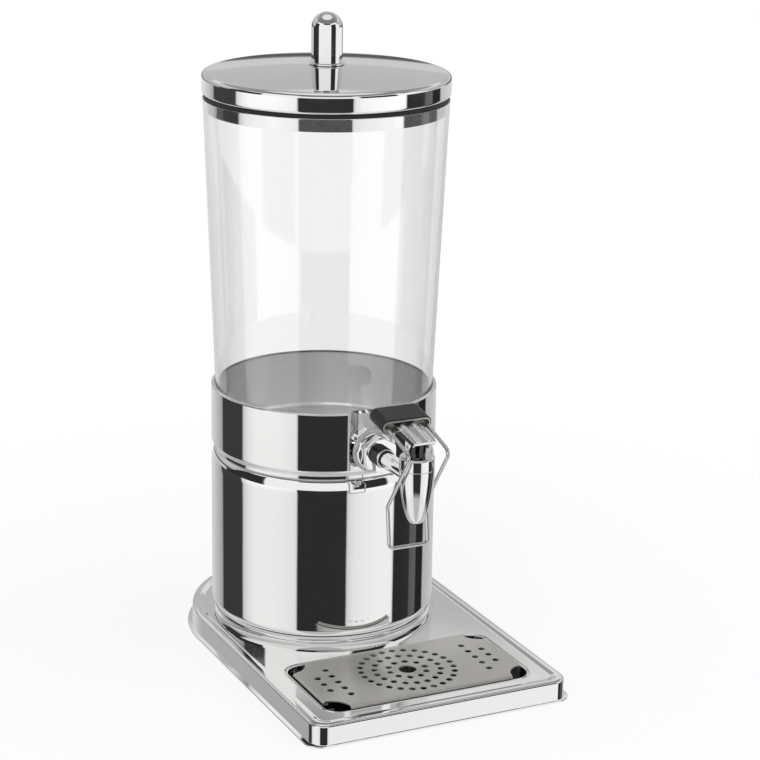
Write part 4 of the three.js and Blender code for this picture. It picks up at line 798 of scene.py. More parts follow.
boss = turned((0, DECK - half_sheet), (BOSS_RADIUS, DECK - half_sheet), boss_shoulder, (0, DECK + BOSS))
boss_hollow = post(BOSS_RADIUS - BOSS_SHOULDER - BASE_SHEET, DECK - 4, DECK + BOSS - BASE_SHEET, 96)
combine(base_pan, "UNION", well_wall, boss)
combine(base_pan, "DIFFERENCE", well_hollow, boss_hollow)

# %% [markdown]
# Three bolts hold the pedestal. Their holes go through boss and flange.

# %% Bolt holes
BOLT_CIRCLE, BOLT_HOLE = 74.0, 2.7
bolt_places = [(BOLT_CIRCLE * math.cos(a), BOLT_CIRCLE * math.sin(a)) for a in np.radians([90, 210, 330])]
bolt_holes = merged(*[moved(post(BOLT_HOLE, 12, 27, 24), x, y) for x, y in bolt_places])
combine(base_pan, "DIFFERENCE", bolt_holes)
dress(base_pan, polished_stainless, "stand", "polished_steel", "base_pan")
base_pan.visible_glossy = False

# %% [markdown]
# The bottom cover closes the pan from below, and four rubber feet are pushed into it.

# %% Bottom cover and feet
FOOT_INSET, BACK_FOOT_TURN = 16, math.radians(55)
BOTTOM_HOLE = 4.1
side = BASE_HALF - FOOT_INSET
front_y = FOOT_INSET - BASE_FRONT
back_x, back_y = side * math.sin(BACK_FOOT_TURN), side * math.cos(BACK_FOOT_TURN)
feet = {"front_left": (-side, front_y), "front_right": (side, front_y),
        "back_left": (-back_x, back_y), "back_right": (back_x, back_y)}
bottom_cover = solid("bottom_cover_plate", lofted([base_ring(1.5, 1), base_ring(1.5, 2)]))
foot_holes = merged(*[moved(post(BOTTOM_HOLE, 0, 4, 32), x, y) for x, y in feet.values()])
combine(bottom_cover, "DIFFERENCE", foot_holes)
dress(bottom_cover, satin_stainless, "stand", "brushed_sheet", "bottom_cover")
bottom_cover.visible_glossy = False
foot = turned((0, 0), (7.6, 0), arc(8.4, 0.5, 0.6, 0.5, -90, 0, 4), (9, 1), (4, 1), (4, 2), (5, 2), (3.9, 4),
              (0, 4), segments=48)
for name, (x, y) in feet.items():
    rubber_foot = solid("foot_" + name, moved(foot, x, y))
    dress(rubber_foot, black_rubber, "stand", "black_rubber", "rubber_foot_" + name)
    rubber_foot.visible_glossy = False

# %% [markdown]
# The pedestal is a spun shell. Its foot turns in on a thin rubber gasket.
# Near the top it draws in over a soft shoulder to the groove under the ring.

# %% Pedestal
HOUSING, GROOVE, GROOVE_HIGH, HOUSING_SHEET = 94.6, 91.0, 2.6, 1.2
BOSS_TOP = DECK + BOSS
HOUSING_FOOT = BOSS_TOP + 0.9
HOUSING_TOP = 162.5
SHOULDER, FOOT_BEND, FLANGE_BORE, GASKET_EDGE = 12.0, 7, 60, 86.4


def housing_wall(offset, steps):
    """The shell's wall from its foot flange to the groove, drawn in by an offset."""
    return path((FLANGE_BORE, HOUSING_FOOT + offset),
                arc(HOUSING - FOOT_BEND, HOUSING_FOOT + FOOT_BEND, FOOT_BEND - offset, FOOT_BEND - offset,
                    270, 360, steps),
                arc(GROOVE - offset, HOUSING_TOP - GROOVE_HIGH - SHOULDER, HOUSING - GROOVE, SHOULDER,
                    0, 90, steps),
                (GROOVE - offset, HOUSING_TOP))


housing = solid("pedestal_shell", turned(housing_wall(0, 20), housing_wall(HOUSING_SHEET, 8)[::-1]))
combine(housing, "DIFFERENCE", bolt_holes)
dress(housing, polished_stainless, "stand", "polished_steel", "housing_shell")
gasket = solid("pedestal_gasket", turned((FLANGE_BORE, BOSS_TOP), (GASKET_EDGE, BOSS_TOP),
                                         (GASKET_EDGE, HOUSING_FOOT), (FLANGE_BORE, HOUSING_FOOT)))
combine(gasket, "DIFFERENCE", bolt_holes)
dress(gasket, grey_rubber, "stand", "black_rubber", "housing_gasket")

# %% [markdown]
# The ring above it takes the container. A deep slot at the front lets the tap lift out with it.
# The slot's corners are round, and the lip is rolled in, so no raw edge shows.

# %% Container ring
RING_TOP, RING_BEND, LIP, LIP_BORE, SHELF_BORE = 216.5, 3.4, 1.2, 92.2, 80
SLOT_HALF, SLOT_CORNER, SLOT_FOOT = 19.5, 5, 171.5
ring_wall = HOUSING_TOP + GROOVE_HIGH + RING_BEND
ring_bore = HOUSING - HOUSING_SHEET
groove_bore = GROOVE - HOUSING_SHEET


def stood_up(outline, y):
    """A flat outline stood upright across the dispenser: (x, z) becomes (x, y, z)."""
    return np.column_stack([outline[:, 0], np.full(len(outline), float(y)), outline[:, 1]])


ring_shape = turned(
    (SHELF_BORE, HOUSING_TOP), (GROOVE, HOUSING_TOP),
    arc(HOUSING - RING_BEND, ring_wall, RING_BEND, RING_BEND, 270, 360, 14),
    arc(HOUSING - LIP, RING_TOP - LIP, LIP, LIP, 0, 90, 8),
    (LIP_BORE, RING_TOP), (LIP_BORE, RING_TOP - LIP), (ring_bore, RING_TOP - 2 * LIP), (ring_bore, ring_wall),
    (groove_bore, ring_wall - RING_BEND), (groove_bore, HOUSING_TOP + HOUSING_SHEET),
    (SHELF_BORE, HOUSING_TOP + HOUSING_SHEET))
slot_side = path(
    arc(SLOT_CORNER - SLOT_HALF, SLOT_FOOT + SLOT_CORNER, SLOT_CORNER, SLOT_CORNER, 180, 270, 10),
    arc(SLOT_HALF - SLOT_CORNER, SLOT_FOOT + SLOT_CORNER, SLOT_CORNER, SLOT_CORNER, 270, 360, 10),
    (SLOT_HALF, RING_TOP + 8.5), (-SLOT_HALF, RING_TOP + 8.5))
ring = solid("container_ring_sheet", ring_shape)
combine(ring, "DIFFERENCE", lofted([stood_up(slot_side, y) for y in (-78, -98)]))
dress(ring, ring_stainless, "stand", "polished_steel", "container_ring", slope=0.0)

# %% [markdown]
# Under the container hang a cup with a cold pack and a plate that carries the cold to the juice.

# %% Cooling cup and plate
CUP, CUP_DEEP, CUP_BEND, CUP_SHEET, CUP_LIP = 79.4, 31, 4, 0.8, 7.5
PLATE_FOOT, PLATE_THICK = 164.5, 1
cup_floor, cup_edge = PLATE_FOOT - CUP_DEEP, CUP + CUP_LIP
cup = turned(
    (0, cup_floor), arc(CUP - CUP_BEND, cup_floor + CUP_BEND, CUP_BEND, CUP_BEND, 270, 360, 6),
    (CUP, PLATE_FOOT - CUP_SHEET), (cup_edge, PLATE_FOOT - CUP_SHEET), (cup_edge, PLATE_FOOT),
    (CUP - CUP_SHEET, PLATE_FOOT),
    arc(CUP - CUP_BEND, cup_floor + CUP_BEND, CUP_BEND - CUP_SHEET, CUP_BEND - CUP_SHEET, 0, -90, 6),
    (0, cup_floor + CUP_SHEET), segments=96)
dress(solid("cooling_cup", cup), satin_stainless, "stand", "brushed_sheet", "pack_cup")
plate = post(cup_edge, PLATE_FOOT, PLATE_FOOT + PLATE_THICK, 96)
dress(solid("cooling_plate", plate), satin_stainless, "stand", "brushed_sheet", "cold_plate")

# %% [markdown]
# The tray is a shallow drawn pan with a rounded floor edge.
# Its cover is a brushed plate with four turned-down edges, notched at the corners for two fingertips.
# The two long edges end higher, so that juice runs below them.
# Rings of punched holes surround a larger drain hole, with two short columns at each side.

# %% Drip tray
TRAY_GAP, TRAY_SHEET = 0.6, 0.8
tray_foot, tray_rim = WELL_FLOOR + 0.1, DECK - 0.5


def pan_ring(inset, z):
    """The tray's outline, drawn in by its gap to the well and an inset."""
    return well_ring(-TRAY_GAP - inset, z)


tray = solid("drip_tray_pan", lofted([
    pan_ring(1.6, tray_foot), pan_ring(0.5, tray_foot + 0.5), pan_ring(0, tray_foot + 1.6),
    pan_ring(0, tray_rim - 0.2), pan_ring(0.1, tray_rim), pan_ring(TRAY_SHEET - 0.1, tray_rim),
    pan_ring(TRAY_SHEET, tray_rim - 0.2), pan_ring(TRAY_SHEET, tray_foot + 2),
    pan_ring(TRAY_SHEET + 0.3, tray_foot + 1.1), pan_ring(TRAY_SHEET + 1.2, tray_foot + TRAY_SHEET)]))
dress(tray, tray_stainless, "tray", "polished_steel", "drip_tray")

# %% Perforated cover
COVER_HALF, COVER_DEEP_HALF, COVER_BEND, COVER_SHEET = 88.0, 45.8, 2.6, 1.0
EDGE_END, EDGE_GAP = 72.5, 3  # the long edges: half their length, and the gap under them
NOTCH, HOLE, DRAIN = 16.5, 2.7, 7.2
HOLE_RINGS = [(15.4, 10), (26.9, 18), (38.1, 26)]  # radius and count
HOLE_COLUMNS, HOLE_PITCH = [(61.5, 5), (73.9, 3)], 12.2  # distance from the middle and count
cover_top, cover_foot = DECK + 2.2, WELL_FLOOR + 1.0
cover_bend = cover_top - COVER_BEND


def cover_ring(inset, z):
    """The cover's outline, drawn in by an inset."""
    return tray_ring(COVER_HALF - inset, COVER_DEEP_HALF - inset, COVER_BEND, z, 6)


outer_bend = arc(COVER_BEND, cover_bend, COVER_BEND, COVER_BEND, 180, 90, 8)
inner_bend = arc(COVER_BEND, cover_bend, COVER_BEND - COVER_SHEET, COVER_BEND - COVER_SHEET, 90, 180, 5)
cover = solid("drip_cover_plate", lofted([
    *[cover_ring(inset, z) for inset, z in inner_bend], cover_ring(COVER_SHEET, cover_foot),
    cover_ring(0, cover_foot), *[cover_ring(inset, z) for inset, z in outer_bend]]))
notches = [moved(post(NOTCH, cover_foot - 2, cover_top + 2), x * COVER_HALF, y * COVER_DEEP_HALF - TRAY_FRONT)
           for x in (-1, 1) for y in (-1, 1)]
edge_gaps = block((-EDGE_END, -COVER_DEEP_HALF - TRAY_FRONT - 1, cover_foot - 1),
                  (EDGE_END, COVER_DEEP_HALF - TRAY_FRONT + 1, cover_foot + EDGE_GAP))
hole_places = [(r * math.cos(a), r * math.sin(a)) for r, n in HOLE_RINGS
               for a in np.arange(n) * 2 * np.pi / n]
hole_places += [(side * x, (i - (n - 1) / 2) * HOLE_PITCH)
                for x, n in HOLE_COLUMNS for i in range(n) for side in (-1, 1)]
punch = post(HOLE, cover_top - 3, cover_top + 2, 28)
drain = moved(post(DRAIN, cover_top - 3, cover_top + 2), 0, -TRAY_FRONT)
holes = merged(drain, *[moved(punch, x, y - TRAY_FRONT) for x, y in hole_places])
combine(cover, "DIFFERENCE", merged(*notches), edge_gaps, holes)
print("holes", len(hole_places) + 1)
dress(cover, brushed_stainless, "tray_cover", "brushed_sheet", "drip_cover")

# %% [markdown]
# The container tapers a little towards its foot, so that it leaves the mould and stacks.
# A flat pad is moulded on its front for the tap's washer, with a round seat for the nut inside.

# %% Container
CONTAINER_FOOT, CONTAINER_TOP, WALL, FLOOR_ROUND, MOUTH_ROUND = 165.6, 457.5, 2.6, 5.0, 0.9
MOUTH, AT_RING = 100.5, 91.3  # outer radii at the top and at the ring
SLOPE = (MOUTH - AT_RING) / (CONTAINER_TOP - RING_TOP)
TAP = 184.5  # height of the shank's axis
PAD_HALF, PAD_FOOT, PAD_TOP, PAD_FRONT, PAD_CORNER = 13, 173.7, 217, 95.5, 4.5
PAD_ROOT, SIDE_DRAFT, END_DRAFT = 86, 5.7, 1.4  # where it starts inside the wall, and how it spreads there
SEAT, SEAT_BACK, SHANK_HOLE = 14, 85.4, 6.75


def wall_radius(z):
    """Outer radius of the container at a height."""
    return AT_RING + (z - RING_TOP) * SLOPE


def along_shank(shape):
    """Lays a shape that was turned about Z along the shank: up becomes forwards."""
    points, faces = shape
    return points @ np.array([[1, 0, 0], [0, 0, 1], [0, -1, 0]]) + [0, 0, TAP], faces


def pad_outline(half, low, high, y):
    """The pad's upright outline, round at its foot and square at its top."""
    corner = low + PAD_CORNER
    return stood_up(path(arc(PAD_CORNER - half, corner, PAD_CORNER, PAD_CORNER, 180, 270, 8),
                         arc(half - PAD_CORNER, corner, PAD_CORNER, PAD_CORNER, 270, 360, 8),
                         (half, high), (-half, high)), -y)


foot_bend = wall_radius(CONTAINER_FOOT) - FLOOR_ROUND
bend_height, floor_bend = CONTAINER_FOOT + FLOOR_ROUND, FLOOR_ROUND - WALL
over_top = CONTAINER_TOP + 2
outside = turned((0, CONTAINER_FOOT), arc(foot_bend, bend_height, FLOOR_ROUND, FLOOR_ROUND, 270, 360, 10),
                 arc(MOUTH - MOUTH_ROUND, CONTAINER_TOP - MOUTH_ROUND, MOUTH_ROUND, MOUTH_ROUND, 0, 90, 5),
                 (0, CONTAINER_TOP))
hollow = turned((0, CONTAINER_FOOT + WALL), arc(foot_bend, bend_height, floor_bend, floor_bend, 270, 360, 8),
                (wall_radius(over_top) - WALL, over_top), (0, over_top))
pad = lofted([pad_outline(PAD_HALF + SIDE_DRAFT, PAD_FOOT - END_DRAFT, PAD_TOP + END_DRAFT, PAD_ROOT),
              pad_outline(PAD_HALF, PAD_FOOT, PAD_TOP, PAD_FRONT)])
seat = along_shank(post(SEAT, SEAT_BACK, wall_radius(TAP) - WALL / 2, 48))
shank_hole = along_shank(post(SHANK_HOLE, 80, 100, 48))
container = solid("container_wall", outside)
combine(container, "UNION", pad)
combine(container, "DIFFERENCE", hollow)
combine(container, "UNION", seat)
combine(container, "DIFFERENCE", shank_hole)
dress(container, clear_polycarbonate, "vessel", "clear_plastic", "container", slope=SLOPE)

# %% [markdown]
# The lid is a spun cap: a low crown, a round shoulder, an upright band and a hem turned in at its foot.
# A skirt drops inside the container's mouth, and a rubber ring lies between lid and rim.

# %% Lid
LID, LID_SHEET, LID_SHOULDER = 101.5, 1.2, 4.0
HEM, HEM_BEND, HEM_EDGE = 460.3, 3, 97.4
SHOULDER_TOP = HEM + 17.4
CROWN, CROWN_HOLE = 6.2, 2.3
SKIRT, SKIRT_SHEET, SKIRT_DROP = 97.1, 1.0, 13.4
SEAL_BORE, SEAL = 97.5, 99.4
flat = LID - LID_SHOULDER


def crown(radius, drop=0.0):
    """Height of the crowned top: a parabola that falls by the crown's rise from knob to shoulder."""
    return SHOULDER_TOP + CROWN - CROWN * (radius / flat) ** 2 - drop


def lid_shoulder(bend, start, end, steps):
    """The bend from the upright band to the crown."""
    return arc(flat, SHOULDER_TOP - LID_SHOULDER, bend, bend, start, end, steps)


stations = np.linspace(flat, CROWN_HOLE, 40)
top_side = np.column_stack([stations, crown(stations)])
under_side = np.column_stack([stations, crown(stations, LID_SHEET)])[::-1]
hem_bend = HEM_BEND - LID_SHEET
lid = turned(
    (HEM_EDGE, HEM), arc(LID - HEM_BEND, HEM + HEM_BEND, HEM_BEND, HEM_BEND, 270, 360, 12),
    lid_shoulder(LID_SHOULDER, 0, 83, 16), top_side, under_side,
    lid_shoulder(LID_SHOULDER - LID_SHEET, 83, 0, 8),
    arc(LID - HEM_BEND, HEM + HEM_BEND, hem_bend, hem_bend, 360, 270, 6), (HEM_EDGE, HEM + LID_SHEET))
dress(solid("lid_cap", lid), lid_stainless, "lid", "polished_steel", "lid_shell")
skirt_foot, skirt_bore = HEM - SKIRT_DROP, SKIRT - SKIRT_SHEET
skirt_top = crown(SKIRT) - LID_SHEET - 0.1
skirt = turned((skirt_bore, skirt_foot), (SKIRT - SKIRT_SHEET / 2, skirt_foot - 0.2), (SKIRT, skirt_foot),
               (SKIRT, skirt_top), (skirt_bore, skirt_top))
dress(solid("lid_inner_skirt", skirt), polished_stainless, "lid", "polished_steel", "lid_skirt")
seal_bulge = arc(SEAL, (CONTAINER_TOP + HEM) / 2, 0.45, (HEM - CONTAINER_TOP) / 2, -90, 90, 8)
seal = turned((SEAL_BORE, CONTAINER_TOP), (SEAL, CONTAINER_TOP), seal_bulge, (SEAL_BORE, HEM))
dress(solid("lid_seal_ring", seal), black_rubber, "lid", "black_rubber", "lid_seal")

# %% [markdown]
# The knob is a plain bar with a half-round end on a thin foot ring. Both are polished steel.

# %% Knob
KNOB, KNOB_HIGH, KNOB_RING, SCREW_HOLE, SCREW_DEEP = 12.8, 40.6, 14.4, 2.1, 12
knob_seat = crown(0) + 0.1
bar_foot = knob_seat + 1.6
knob_ring = turned((SCREW_HOLE, knob_seat), (KNOB_RING - 0.2, knob_seat),
                   arc(KNOB_RING - 0.6, knob_seat + 0.4, 0.6, 0.4, -90, 0, 4),
                   arc(KNOB_RING - 0.7, bar_foot - 0.7, 0.7, 0.7, 0, 90, 6), (SCREW_HOLE, bar_foot),
                   segments=96)
dress(solid("knob_foot_ring", knob_ring), lid_stainless, "lid", "polished_steel", "knob_foot")
bar = turned((0, bar_foot + SCREW_DEEP), (SCREW_HOLE, bar_foot + SCREW_DEEP), (SCREW_HOLE, bar_foot),
             (KNOB - 0.3, bar_foot), arc(KNOB - 0.3, bar_foot + 0.3, 0.3, 0.3, -90, 0, 3),
             arc(0, bar_foot + KNOB_HIGH - KNOB, KNOB, KNOB, 0, 90, 32), segments=128)
dress(solid("knob_bar", bar), lid_stainless, "lid", "polished_steel", "knob")

# %% [markdown]
# The tap's shank goes through the wall. A silicone washer, a domed flange and a hexagon nut clamp it.
# A threaded collar and two rings follow, then the bullet-shaped nozzle.
# Each is turned about the shank, with its height read as the distance to the front.

# %% Stack on the shank
BORE = 6.6
BACK = 95.6  # back of the outer washer


def shank_ring(name, material, slot, node, *profile, segments=SMALL):
    """A piece turned about the shank, from profile points of radius and distance to the front."""
    dress(solid(name, along_shank(turned(*profile, segments=segments))), material, "vessel", slot, node)


shank_ring("silicone_washer", clear_silicone, "silicone", "outer_washer",
           (BORE, BACK), arc(17.1, BACK + 0.9, 0.9, 0.9, 270, 360, 6),
           arc(17.1, BACK + 1.5, 0.9, 0.9, 0, 90, 6), (BORE, BACK + 2.4), segments=96)
shank_ring("domed_flange", chrome_plate, "chrome", "dome_washer",
           (BORE, 98.1), (15.8, 98.1), arc(15.8, 98.3, 0.2, 0.2, -90, 0, 3),
           arc(13.6, 99.5, 2.4, 2.4, 0, 90, 12), (BORE, 101.9), segments=96)
shank_ring("bright_collar_ring", chrome_plate, "chrome", "bright_ring",
           (BORE, 119.0), (7.6, 119.0), arc(7.4, 119.6, 0.6, 0.6, -90, 0, 5),
           arc(7.1, 120.5, 0.9, 0.9, 0, 90, 6), (BORE, 121.4))
shank_ring("rubber_collar_ring", black_rubber, "black_rubber", "dark_ring",
           (BORE, 121.5), (7.0, 121.5), arc(6.9, 122.6, 0.3, 1.1, -90, 90, 8), (BORE, 123.7))
shank_ring("inner_silicone_washer", clear_silicone, "silicone", "inner_washer",
           (BORE, 82.9), arc(11.9, 83.5, 0.6, 0.6, -90, 0, 5),
           arc(11.9, 84.7, 0.6, 0.6, 0, 90, 5), (BORE, 85.3))

# %% [markdown]
# A hexagon nut's corners are turned off at its outer end. So each nut is a hexagon that a cone cuts.

# %% Hexagon nuts
def hexagon_nut(name, node, across_flats, back, front, chamfer=0.9, corner_cut=1.6):
    """A hexagon cut by a cone at its chamfered end. Its flats face left and right."""
    corner = across_flats / math.sqrt(3)
    angle = np.radians(30 + 60 * np.arange(6))
    outline = np.column_stack([corner * np.cos(angle), corner * np.sin(angle)])
    nut = solid(name, along_shank(lofted([at_height(outline, back), at_height(outline, front)])))
    cone = turned((0, back - 0.01), (corner + 0.02, back - 0.01), (corner + 0.02, front - chamfer),
                  (corner - corner_cut, front + 0.01), (0, front + 0.01), segments=96)
    combine(nut, "INTERSECT", along_shank(cone))
    combine(nut, "DIFFERENCE", along_shank(post(BORE, back - 2, front + 2)))
    dress(softened(nut, 0.25, 2, 35), chrome_plate, "vessel", "chrome", node, sharp=40)


hexagon_nut("tap_hexagon_nut", "hex_nut", 26.5, 102.0, 111.9)
hexagon_nut("inner_hexagon_nut", "lock_nut", 25, 75.3, 82.8)

# %% [markdown]
# The collar has four round threads. Their profile is a row of bumps.

# %% Threaded collar
COLLAR_BACK, COLLAR_LONG, THREADS = 112.0, 6.9, 4
run = np.linspace(0, 1, 81)
bumps = np.sin(np.pi * ((run * THREADS) % 1)) ** 0.8
thread = np.column_stack([7.8 + 0.7 * bumps, COLLAR_BACK + COLLAR_LONG * run])
shank_ring("threaded_collar", black_chrome, "dark_chrome", "thread_collar",
           (BORE, COLLAR_BACK), thread, (BORE, COLLAR_BACK + COLLAR_LONG))

# %% [markdown]
# The nozzle is a bullet: straight at the top, then a long taper to a round mouth.
# Its taper follows a smooth curve through a few chosen widths, so the bands on it bend without kinks.

# %% Nozzle
NOZZLE_FRONT, NOZZLE_TIP, NOZZLE_TOP, NOZZLE, NOZZLE_MOUTH = 175.6, 150.0, 204.8, 14.0, 5.5
STRAIGHT, SEAM = 193.5, 194.45  # foot of the straight part, and the groove round it
NECK_SEAT, CHAMBER, CHAMBER_FOOT = 202.4, 7, 176
TAPER_SHARES = np.array([(0.02, 0.03), (0.06, 0.16), (0.12, 0.305), (0.23, 0.49), (0.36, 0.63), (0.48, 0.74),
                         (0.6, 0.84), (0.72, 0.92), (0.86, 0.975), (1, 1)])  # height and width, from the tip


def curve_terms(rise):
    """Root, line, square and cube of the height, and one, for each height."""
    return np.column_stack([np.sqrt(rise), rise, rise ** 2, rise ** 3, np.ones_like(rise)])


fit = np.linalg.lstsq(curve_terms(TAPER_SHARES[:, 0]), TAPER_SHARES[:, 1], rcond=None)[0]
rise = np.linspace(0.02, 1, 48)
width = NOZZLE_MOUTH + (NOZZLE - NOZZLE_MOUTH) * np.minimum(curve_terms(rise) @ fit, 1)
taper = np.column_stack([width, NOZZLE_TIP + (STRAIGHT - NOZZLE_TIP) * rise])[width < NOZZLE - 0.015]
body = turned(
    (4, NOZZLE_TIP), (5.0, NOZZLE_TIP), arc(5.0, NOZZLE_TIP + 0.6, 0.6, 0.6, -90, -10, 5), taper,
    (NOZZLE, STRAIGHT), (NOZZLE, SEAM - 0.35), arc(NOZZLE, SEAM, 0.3, 0.35, 270, 90, 6),
    (NOZZLE, SEAM + 0.35), arc(NOZZLE - 1.6, NOZZLE_TOP - 1.6, 1.6, 1.6, 0, 90, 12), (5.5, NOZZLE_TOP),
    (5.5, NECK_SEAT), (CHAMBER, NECK_SEAT), (CHAMBER, CHAMBER_FOOT), (4, CHAMBER_FOOT), segments=128)
nozzle = solid("nozzle_body", moved(body, 0, -NOZZLE_FRONT))
combine(nozzle, "DIFFERENCE", along_shank(post(BORE, 150, NOZZLE_FRONT)))
dress(nozzle, chrome_plate, "vessel", "chrome", "tap_body", sharp=28)
shank = solid("tap_shank_tube", along_shank(turned((4.4, 70), (6.5, 70), (6.5, 168.6), (4.4, 168.6))))
combine(shank, "DIFFERENCE", moved(post(CHAMBER + 0.1, CHAMBER_FOOT, 204), 0, -NOZZLE_FRONT))
dress(shank, chrome_plate, "vessel", "chrome", "tap_shank")

# %% [markdown]
# The neck stands on the nozzle and holds the lever's pivot. A cross hole takes the shaft.

# %% Neck
PIVOT = 213  # height of the lever's pivot


def laid_across(shape):
    """Turns an upright shape to lie along X."""
    return shape[0] @ np.array([[0, 0, -1], [0, 1, 0], [1, 0, 0]]), shape[1]


neck_shape = turned((2.2, NECK_SEAT), (5.4, NECK_SEAT), (5.4, NOZZLE_TOP), (6.5, NOZZLE_TOP), (7.5, 215.6),
                    arc(7.1, 215.6, 0.4, 0.4, 0, 90, 4), (6.2, 216), (6.2, 209.6), (2.2, 209.6), segments=96)
neck = solid("tap_neck_socket", moved(neck_shape, 0, -NOZZLE_FRONT))
combine(neck, "DIFFERENCE", moved(laid_across(post(1.7, -12, 12, 32)), 0, -NOZZLE_FRONT, PIVOT))
dress(neck, black_chrome, "vessel", "dark_chrome", "tap_neck")

# %% [markdown]
# The lever's pieces are drawn level, about the pivot, and then tilted with it.
# Its plate is pressed: two ribs along the top, flanges at the sides and a lip in front.

# %% Lever frame
TILT = math.radians(10.5)


def on_lever(shape):
    """Turns a shape about the pivot's X axis by the lever's tilt and puts it on the pivot."""
    c, s = math.cos(TILT), math.sin(TILT)
    points = np.asarray(shape[0]) @ np.array([[1, 0, 0], [0, c, s], [0, -s, c]])
    return points + [0, -NOZZLE_FRONT, PIVOT], shape[1]


# %% Lever plate
PLATE_TOP, PLATE_SHEET, PLATE_FRONT, PLATE_BACK = 8.9, 1.5, 11.8, 34.0
PLATE_SIDE, PLATE_LIP = 1.2, 2.3
INSERT_FRONT = 20.2
under = PLATE_TOP - PLATE_SHEET
flange_foot = under - 2.6


def plate_half(y):
    """Half width: it grows evenly from the front end to the insert."""
    return 9.6 + 1.6 * np.clip((np.asarray(y, float) + PLATE_FRONT) / (INSERT_FRONT + PLATE_FRONT), 0, 1)


def plate_outline(inset, z):
    """The plate's outline, drawn in at the sides and the front."""
    y = np.array([inset - PLATE_FRONT, INSERT_FRONT, PLATE_BACK])
    x = plate_half(y) - inset
    outline = np.vstack([np.column_stack([x, y]), np.column_stack([-x, y])[::-1]])
    return at_height(outline, z)


lever_plate = solid("lever_top_plate", on_lever(lofted([plate_outline(0, flange_foot),
                                                        plate_outline(0, PLATE_TOP)])))
combine(lever_plate, "DIFFERENCE",
        on_lever(lofted([plate_outline(PLATE_SIDE, under - 5), plate_outline(PLATE_SIDE, under)])),
        on_lever(block((-12, -PLATE_FRONT - 2, under - 5),
                       (12, PLATE_SIDE - PLATE_FRONT, PLATE_TOP - PLATE_LIP))))
softened(lever_plate, 0.5, 4, 50)

# %% Ribs and cheeks
RIB_HALF, RIB_HIGH, RIB_SINK, RIB_PLACE = 2.7, 1.0, 0.4, 4.8
CHEEK, CHEEK_INNER, CHEEK_OUTER, JOURNAL = 3.4, 7.9, 9.1, 1.65
rib_radius = (RIB_HALF ** 2 + RIB_HIGH ** 2) / (2 * RIB_HIGH)  # of a circle with this half chord and rise
rib_angle = math.degrees(math.asin(RIB_HALF / rib_radius))
rib_middle = PLATE_TOP + RIB_HIGH - rib_radius
rib_side = path(arc(0, rib_middle, rib_radius, rib_radius, 90 - rib_angle, 90 + rib_angle, 16),
                (-RIB_HALF, PLATE_TOP - RIB_SINK), (RIB_HALF, PLATE_TOP - RIB_SINK))
rib_stations = [(0.35 - PLATE_FRONT, -0.55), (0.8 - PLATE_FRONT, -0.2), (1.6 - PLATE_FRONT, -0.05),
                (2.6 - PLATE_FRONT, 0), (PLATE_BACK - 0.3, 0)]  # place along the plate, and how far it dips


def rib(x):
    """A low round rib. Its front end dips under the lip's bend."""
    return on_lever(lofted([stood_up(rib_side + [x, dip], y) for y, dip in rib_stations]))


cheek_face = path((CHEEK, under - 0.2), (CHEEK, 0), arc(0, 0, CHEEK, CHEEK, 0, -180, 24),
                  (-CHEEK, under - 0.2))


def cheek(x0, x1):
    """An ear that reaches down to the pivot."""
    return on_lever(lofted([np.column_stack([np.full(len(cheek_face), x), cheek_face]) for x in (x0, x1)]))


combine(lever_plate, "UNION", rib(-RIB_PLACE), rib(RIB_PLACE), cheek(-CHEEK_OUTER, -CHEEK_INNER),
        cheek(CHEEK_INNER, CHEEK_OUTER))
combine(lever_plate, "DIFFERENCE", on_lever(laid_across(post(JOURNAL, -14, 14, 32))))
dress(lever_plate, chrome_plate, "lever", "chrome", "lever_plate", sharp=28)

# %% [markdown]
# The bail is one bent wire. It leaves the grip's insert on both sides and bows out round the nozzle.
# Then it runs back down to the bar that a glass pushes.
# Straight runs and true circular bends make its line, and a circle carried along makes the wire.

# %% Bail
def bent_line(corners, radii, steps=14):
    """Straight runs with circular bends. A bend starts its radius over the tangent of half the corner's
    angle before the corner, and its points come from the centre on the corner's bisector."""
    corners = np.asarray(corners, float)
    out = [corners[:1]]
    for before, corner, after, radius in zip(corners[:-2], corners[1:-1], corners[2:], radii):
        a = (before - corner) / np.linalg.norm(before - corner)
        b = (after - corner) / np.linalg.norm(after - corner)
        half = math.acos(float(a @ b)) / 2
        centre = corner + (a + b) / np.linalg.norm(a + b) * radius / math.sin(half)
        start = corner + a * radius / math.tan(half) - centre
        end = corner + b * radius / math.tan(half) - centre
        angle = math.acos(float(start @ end) / radius ** 2)
        t = np.linspace(0, 1, steps + 1)[:, None]
        out.append(centre + (np.sin((1 - t) * angle) * start + np.sin(t * angle) * end) / math.sin(angle))
    out.append(corners[-1:])
    line = np.vstack(out)
    step = np.linalg.norm(np.diff(line, axis=0), axis=1)
    return line[np.concatenate([[True], step > 1e-6])]


WIRE_HALF, WIRE, WIRE_HOLE = 16.9, 1.5, 1.65


def bail_side(x):
    """Corners of one side: root, bow, knee and the corner at the bar."""
    return [(x, 37, 7.6), (x, -21.9, 3.2), (x, 6.2, -56.2), (x, -4.3, -88.3)]


wire_line = bent_line(bail_side(-WIRE_HALF) + bail_side(WIRE_HALF)[::-1], [5, 5, 4.2, 4.2, 5, 5])
bail = solid("bail_wire", on_lever(carried(wire_line, WIRE, 24)))
dress(bail, stainless_wire, "lever", "wire", "wire_bail", sharp=60)

# %% [markdown]
# A pale insert holds plate and wire. Its open front shows as a bright oval frame round a pocket.
# The black grip is a cap over it, with a rounded back.

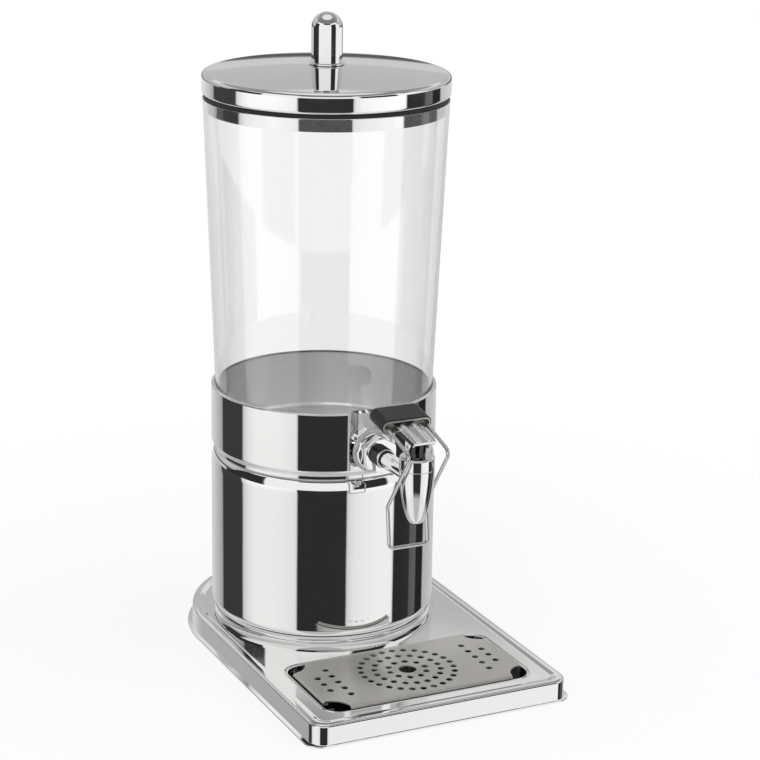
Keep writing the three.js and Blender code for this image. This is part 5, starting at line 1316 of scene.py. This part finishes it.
# %% Insert and grip
INSERT_HALF, INSERT_HIGH, INSERT_BACK, INSERT_CENTRE = 20.7, 4.95, 40.0, 7.1
SLOT_PLAY, PLATE_SLOT_HALF = 0.15, 11.35
GRIP_WALL, GRIP_FRONT, GRIP_BACK, GRIP_ROUND = 1.0, 21.0, 46, 3.4


def oval_ring(inset, y):
    """A flat-sided oval across the lever at one distance behind the pivot, drawn in from the insert's."""
    half, high = INSERT_HALF - inset, INSERT_HIGH - inset
    outline = path(arc(half - high, 0, high, high, -90, 90, 20), arc(high - half, 0, high, high, 90, 270, 20))
    return stood_up(outline + [0, INSERT_CENTRE], y)


insert = solid("grip_insert_casting", on_lever(lofted([
    oval_ring(0.4, INSERT_FRONT), oval_ring(0.12, INSERT_FRONT + 0.1), oval_ring(0, INSERT_FRONT + 0.4),
    oval_ring(0, INSERT_BACK)])))
pocket = lofted([oval_ring(1.0, INSERT_FRONT - 2), oval_ring(1.1, INSERT_FRONT + 7)])
plate_slot = block((-PLATE_SLOT_HALF, INSERT_FRONT + 5, flange_foot - SLOT_PLAY),
                   (PLATE_SLOT_HALF, PLATE_BACK + SLOT_PLAY, PLATE_TOP + RIB_HIGH + SLOT_PLAY))
combine(insert, "DIFFERENCE", on_lever(pocket), on_lever(plate_slot))
for x in (-WIRE_HALF, WIRE_HALF):
    root, bow = np.array(bail_side(x)[:2])
    along = (root - bow) / np.linalg.norm(root - bow)
    hole_line = np.array([root + along * SLOT_PLAY, root - along * 9, root - along * 18.9])
    combine(insert, "DIFFERENCE", on_lever(carried(hole_line, WIRE_HOLE, 24)))
dress(insert, cast_zinc, "lever", "insert_metal", "grip_insert")

grip_back = arc(GRIP_ROUND, GRIP_BACK - GRIP_ROUND, GRIP_ROUND, GRIP_ROUND, 180, 90, 12)
grip_rings = [(0.3, GRIP_FRONT), (0.08, GRIP_FRONT + 0.1), (0, GRIP_FRONT + 0.4), *grip_back]
grip = solid("black_grip_cap", on_lever(lofted([oval_ring(inset - GRIP_WALL, y) for inset, y in grip_rings])))
grip_hollow = lofted([oval_ring(0.9 - GRIP_WALL, y) for y in (GRIP_FRONT - 2, INSERT_BACK + 0.1)])
combine(grip, "DIFFERENCE", on_lever(grip_hollow))
dress(grip, satin_black_abs, "lever", "black_plastic", "lever_grip")

# %% [markdown]
# What is left are small hidden pieces, whose CAD shape is right. They only get their finish.

# %% Finishes of the pieces that stay
kept = {
    zinc_steel: ["pedestal_bolt_1", "pedestal_bolt_2", "pedestal_bolt_3", "pedestal_nut_1", "pedestal_nut_2",
                 "pedestal_nut_3", "valve_stem", "valve_spring", "crank_shaft", "knob_screw"],
    black_rubber: ["valve_seal"],
    pack_polyethylene: ["cold_pack"],
}
for material, names in kept.items():
    for name in names:
        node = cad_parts[name]
        node.data.materials.clear()
        node.data.materials.append(material)
print("kept", sum(len(names) for names in kept.values()))
